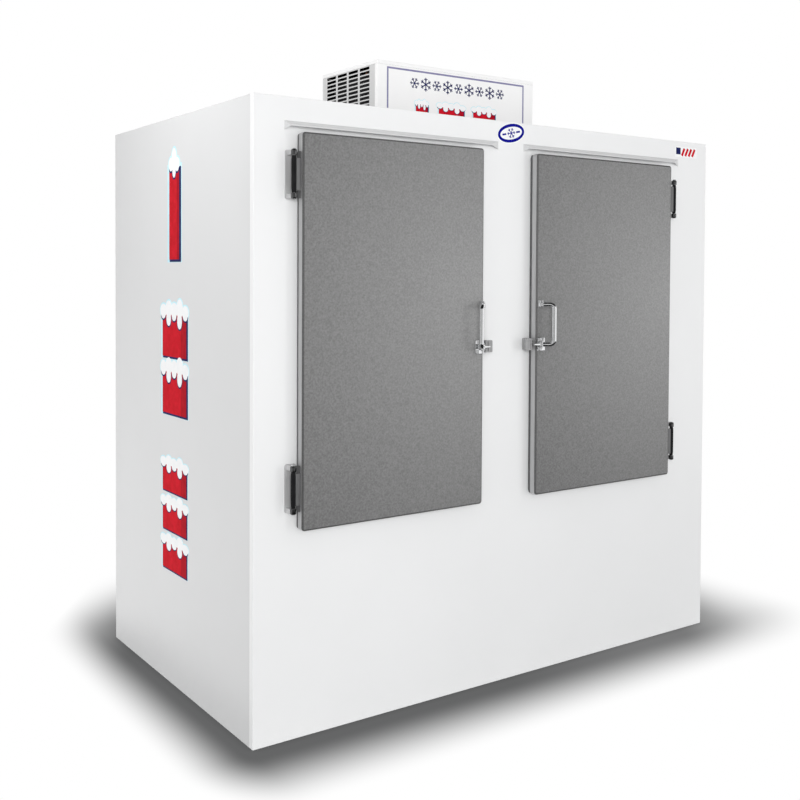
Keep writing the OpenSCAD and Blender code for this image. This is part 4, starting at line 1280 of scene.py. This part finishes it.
def hood_print():
    """A pale border with a row of crystals over a row of ice bars."""
    mark = Print("hood_print", HOOD_LOW.y)
    left, right, low, high, line = -0.294, 0.289, 1.795, 1.957, 0.003
    middle_x, middle_z = (left + right) / 2, (low + high) / 2
    half_x, half_z = (right - left) / 2, (high - low) / 2
    for z in (low, high):
        mark.bar("line", 0, (middle_x, z), (half_x + line, line))
    for x in (left, right):
        mark.bar("line", 0, (x, middle_z), (line, half_z - line))
    count = 9
    for k in range(count):
        x = middle_x + (k - (count - 1) / 2) * 0.046
        mark.crystal("navy", 0, (x, 1.917), 0.0225 if k % 2 else 0.0185, 30 * (k % 2))
    for x, width in ((-0.157, 0.024), (-0.033, 0.053), (0.110, 0.048)):
        mark.ice_bar((x, 1.827), (width, 0.026), 0.32)
    mark.finish()


def badge():
    """A tilted blue oval ring on a white field, with a crystal in the middle."""
    mark = Print("front_badge", FRONT)
    centre, tilt = (-0.020, 1.735), 12
    for ink, layer, size in (("snow", 0, (0.0585, 0.0325)), ("blue", 1, (0.0555, 0.0290)),
                             ("snow", 2, (0.0455, 0.0195))):
        mark.shape(ink, layer, centre, size, 48, tilt)
    mark.crystal("blue", 3, centre, 0.0165, tilt)
    for side in (-1, 1):
        x = centre[0] + side * 0.029 * math.cos(math.radians(tilt))
        z = centre[1] + side * 0.029 * math.sin(math.radians(tilt))
        mark.bar("blue", 3, (x, z), (0.008, 0.0028), tilt)
    mark.finish()


def sticker():
    """A small label with slanted bars in red and a navy corner."""
    mark = Print("front_label", FRONT)
    left, right, z = 0.760, 0.870, 1.7325
    mark.bar("snow", 0, ((left + right) / 2, z), ((right - left) / 2 + 0.004, 0.0185))
    mark.bar("navy", 1, (left + 0.014, z + 0.003), (0.012, 0.012))
    for k in range(4):
        mark.bar("red", 1, (left + 0.040 + 0.0185 * k, z), (0.0052, 0.0150), -28)
    mark.finish()


# ---- Carried-over solids ----

def carried_over():
    """Finishes for the solids that keep their own shape."""
    finishes = {
        FOAM: ("insulation",),
        LINER: ("left_liner", "right_liner", "rear_liner", "ceiling_liner", "floor_liner", "front_liner"),
        ZINC: ("unit_tray",),
        SHELL_BLACK: ("compressor",),
        FINS: ("cooler_coil",),
        # The condenser coil takes the near black fins: painted shade.
        CONDENSER_FINS_PAINTED_SHADE: ("condenser_coil",),
        DARK: ("fan_shroud", "condenser_motor", "cooler_motor"),
        # These white parts take the darker enamel: painted shade.
        PAINTED_SHADE_WHITE: ("control_box", "cooler_housing", "drain_pan"),
        COPPER: ("copper_lines",),
        BLADES: ("condenser_fan", "cooler_fan"),
    }
    for finish, nodes in finishes.items():
        for name in nodes:
            solid = frame["nodes"][name]
            solid.data.materials.clear()
            solid.data.materials.append(finish)


# ---- Studio ----

def maths(nodes, links, operation, first, second):
    """A maths node. Each input is a socket or a number."""
    step = nodes.new("ShaderNodeMath")
    step.operation = operation
    for socket, value in zip(step.inputs, (first, second)):
        if isinstance(value, (int, float)):
            socket.default_value = value
        else:
            links.new(value, socket)
    return step.outputs["Value"]


def seen_directly(nodes, links):
    """1 for the camera's own rays and for what shows in a reflection or through glass."""
    paths = nodes.new("ShaderNodeLightPath")
    seen = maths(nodes, links, "MAXIMUM", paths.outputs["Is Camera Ray"], paths.outputs["Is Glossy Ray"])
    return maths(nodes, links, "MAXIMUM", seen, paths.outputs["Is Transmission Ray"])


# The floor's painted soft shadow, in metres. Its ends lie on a line across the view, with 0 at the middle.
SHADOW_TONE = 0.13
SHADOW_FULL, SHADOW_GONE = 0.045, 0.335
LEFT_END, LEFT_FULL = -1.33, -0.96
TIRING_START, TIRING_END, TIRED = 0.3, 0.8, 0.93
RIGHT_START, RIGHT_END, RIGHT_FADE = 0.95, 1.30, 0.40
ACROSS = (0.825, -0.565)


def eased(nodes, links, source, start, end, low, high, curve="SMOOTHSTEP"):
    """Goes from low to high while the source goes from start to end."""
    step = nodes.new("ShaderNodeMapRange")
    step.interpolation_type = curve
    for name, value in (("From Min", start), ("From Max", end), ("To Min", low), ("To Max", high)):
        step.inputs[name].default_value = value
    links.new(source, step.inputs["Value"])
    return step.outputs["Result"]


def away_from_cabinet(nodes, links, axes):
    """The distance from the cabinet's foot, with a stretch of its own on each side."""
    outside = []
    for axis, low, high, low_stretch, high_stretch in (("X", SIDE, SIDE, 1.45, 0.60),
                                                       ("Y", -FRONT, REAR, 1.0, 0.42)):
        before = maths(nodes, links, "SUBTRACT", -low, axes.outputs[axis])
        beyond = maths(nodes, links, "SUBTRACT", axes.outputs[axis], high)
        scaled = [maths(nodes, links, "MULTIPLY", side, stretch)
                  for side, stretch in ((before, low_stretch), (beyond, high_stretch))]
        out = maths(nodes, links, "MAXIMUM", maths(nodes, links, "MAXIMUM", *scaled), 0.0)
        outside.append(maths(nodes, links, "POWER", out, 2.0))
    return maths(nodes, links, "POWER", maths(nodes, links, "ADD", *outside), 0.5)


def shadow_strength(nodes, links, axes):
    """The painted shadow grows in at its left end, tires a little, and fades at its right end."""
    parts = [maths(nodes, links, "MULTIPLY", axes.outputs[axis], share) for axis, share in zip("XY", ACROSS)]
    across = maths(nodes, links, "ADD", *parts)
    missing = eased(nodes, links, across, LEFT_END, LEFT_FULL, 1.0, 0.0, "LINEAR")
    left = maths(nodes, links, "SUBTRACT", 1.0, maths(nodes, links, "POWER", missing, 2.0))
    tired = eased(nodes, links, across, TIRING_START, TIRING_END, 1.0, TIRED, "LINEAR")
    faded = eased(nodes, links, across, RIGHT_START, RIGHT_END, 0.0, RIGHT_FADE)
    return maths(nodes, links, "MULTIPLY", left, maths(nodes, links, "SUBTRACT", tired, faded))


def floor_tone(nodes, links):
    """White paper with a painted shadow, and a painted contact shade from the ambient occlusion right under
    the cabinet's edge.
    """
    place_on = nodes.new("ShaderNodeTexCoord")
    axes = nodes.new("ShaderNodeSeparateXYZ")
    links.new(place_on.outputs["Object"], axes.inputs["Vector"])
    away = away_from_cabinet(nodes, links, axes)
    depth = eased(nodes, links, away, SHADOW_FULL, SHADOW_GONE, 1.0, 0.0)
    shadow = nodes.new("ShaderNodeMix")
    shadow.data_type = "RGBA"
    shadow.inputs["A"].default_value = (1, 1, 1, 1)
    shadow.inputs["B"].default_value = (*grey(SHADOW_TONE, (1, 1.01, 1.02)), 1)
    links.new(maths(nodes, links, "MULTIPLY", depth, shadow_strength(nodes, links, axes)),
              shadow.inputs["Factor"])
    hidden = nodes.new("ShaderNodeAmbientOcclusion")
    hidden.inputs["Distance"].default_value = 0.05
    hidden.samples = 16
    contact = eased(nodes, links, hidden.outputs["AO"], 0.3, 0.8, 0.75, 1.0, "LINEAR")
    both = nodes.new("ShaderNodeMix")
    both.data_type = "RGBA"
    both.blend_type = "MULTIPLY"
    both.inputs["Factor"].default_value = 1.0
    links.new(shadow.outputs["Result"], both.inputs["A"])
    links.new(contact, both.inputs["B"])
    return both.outputs["Result"]


def studio_floor():
    """White paper with a painted soft shadow around the cabinet's base."""
    deselect()
    bpy.ops.mesh.primitive_plane_add(size=60, location=(0, 0, -0.0005))
    floor = named("studio_floor")
    material = bpy.data.materials.new("floor_paper")
    material.use_nodes = True
    nodes, links = material.node_tree.nodes, material.node_tree.links
    paper = nodes["Principled BSDF"]
    paper.inputs["Base Color"].default_value = (0.80, 0.80, 0.80, 1)
    paper.inputs["Roughness"].default_value = 0.9
    white = nodes.new("ShaderNodeEmission")
    links.new(floor_tone(nodes, links), white.inputs["Color"])
    mix = nodes.new("ShaderNodeMixShader")
    links.new(seen_directly(nodes, links), mix.inputs["Fac"])
    links.new(paper.outputs["BSDF"], mix.inputs[1])
    links.new(white.outputs["Emission"], mix.inputs[2])
    links.new(mix.outputs["Shader"], nodes["Material Output"].inputs["Surface"])
    floor.data.materials.append(material)


def card(name, centre, aim, size, level):
    """A flag of this grey that only shows in reflections."""
    deselect()
    turn = (Vector(aim) - Vector(centre)).to_track_quat("Z", "Y").to_euler()
    bpy.ops.mesh.primitive_plane_add(size=1, location=centre, rotation=turn)
    flag = bpy.context.object
    flag.scale = (size[0], size[1], 1)
    named(name)
    material = bpy.data.materials.new(name)
    material.use_nodes = True
    nodes, links = material.node_tree.nodes, material.node_tree.links
    glow = nodes.new("ShaderNodeEmission")
    glow.inputs["Color"].default_value = (level, level, level, 1)
    links.new(glow.outputs["Emission"], nodes["Material Output"].inputs["Surface"])
    flag.data.materials.append(material)
    for kind in ("camera", "diffuse", "shadow", "transmission"):
        setattr(flag, "visible_" + kind, False)


def studio_world(level):
    world = bpy.data.worlds.new("studio")
    bpy.context.scene.world = world
    world.use_nodes = True
    nodes, links = world.node_tree.nodes, world.node_tree.links
    light = nodes["Background"]
    light.inputs["Color"].default_value = (1, 1, 1, 1)
    light.inputs["Strength"].default_value = level
    white = nodes.new("ShaderNodeBackground")
    white.inputs["Color"].default_value = (1, 1, 1, 1)
    white.inputs["Strength"].default_value = 1.0
    mix = nodes.new("ShaderNodeMixShader")
    links.new(seen_directly(nodes, links), mix.inputs["Fac"])
    links.new(light.outputs["Background"], mix.inputs[1])
    links.new(white.outputs["Background"], mix.inputs[2])
    links.new(mix.outputs["Shader"], nodes["World Output"].inputs["Surface"])


def softbox(name, place_at, aim, size, power):
    lamp = bpy.data.lights.new(name, "AREA")
    lamp.shape = "RECTANGLE"
    lamp.size, lamp.size_y = size
    lamp.energy = power
    holder = bpy.data.objects.new(name, lamp)
    bpy.context.scene.collection.objects.link(holder)
    holder.location = place_at
    holder.rotation_euler = (Vector(aim) - Vector(place_at)).to_track_quat("-Z", "Y").to_euler()
    holder.visible_camera = False
    holder.visible_glossy = False


# Where the photograph was taken from, in metres, and its turn, pitch and roll in degrees.
STANDPOINT = (-2.1984, -3.0006, 1.2892)
STANCE = (34.431, -1.444, 0.271)


def camera():
    turned, pitch, roll = (math.radians(v) for v in STANCE)
    ahead = Vector((math.sin(turned) * math.cos(pitch), math.cos(turned) * math.cos(pitch), math.sin(pitch)))
    right = Vector((math.cos(turned), -math.sin(turned), 0))
    up = right.cross(ahead)
    right_r = math.cos(roll) * right + math.sin(roll) * up
    up_r = -math.sin(roll) * right + math.cos(roll) * up
    lens = bpy.data.cameras.new("photo_camera")
    lens.sensor_width = 36
    lens.lens = 46.53
    lens.shift_x = 0.0194
    lens.shift_y = -0.125
    eye = bpy.data.objects.new("photo_camera", lens)
    bpy.context.scene.collection.objects.link(eye)
    turn = Matrix((right_r, up_r, -ahead)).transposed().to_4x4()
    eye.matrix_world = Matrix.Translation(STANDPOINT) @ turn
    bpy.context.scene.camera = eye


cabinet_sheets()
opening_trims()
drip_rails()
doors()
hinges()
closing_parts()
hood_sheets()
gland()
knob()
carried_over()
side_print()
hood_print()
badge()
sticker()
bpy.data.objects.remove(SCREW)

studio_floor()
studio_world(0.56)
softbox("key_front_left", (-4.3, -6.6, 2.3), (0, -0.3, 1.0), (3.2, 2.6), 255)
softbox("fill_front_right", (3.6, -5.6, 1.5), (0, -0.5, 1.0), (1.2, 2.6), 36)
softbox("fill_left_top", (-1.6, -0.2, 2.2), (-0.93, -0.2, 1.8), (0.4, 0.6), 3.6)
softbox("fill_left_low", (-2.2, 0.55, 0.35), (-0.93, 0.05, 0.4), (0.6, 0.6), 3.3)
softbox("fill_back_right", (4.3, 6.6, 2.8), (0, 0.3, 1.0), (3.2, 2.6), 330)
card("dark_ceiling", (0.0, -3.6, 4.2), (0, -3.6, 0), (14.0, 8.0), 0.02)
card("dark_ground", (0.0, -2.3, 0.006), (0, -2.3, 2), (7.0, 3.4), 0.03)
card("dark_front", (-1.42, -4.55, 1.1), (0, -0.6, 1.1), (3.9, 4.0), 0.38)
card("grey_left", (-6.0, -3.0, 1.4), (0, -0.5, 1.2), (5.0, 3.2), 0.50)
camera()
bpy.context.scene.view_settings.view_transform = "Standard"
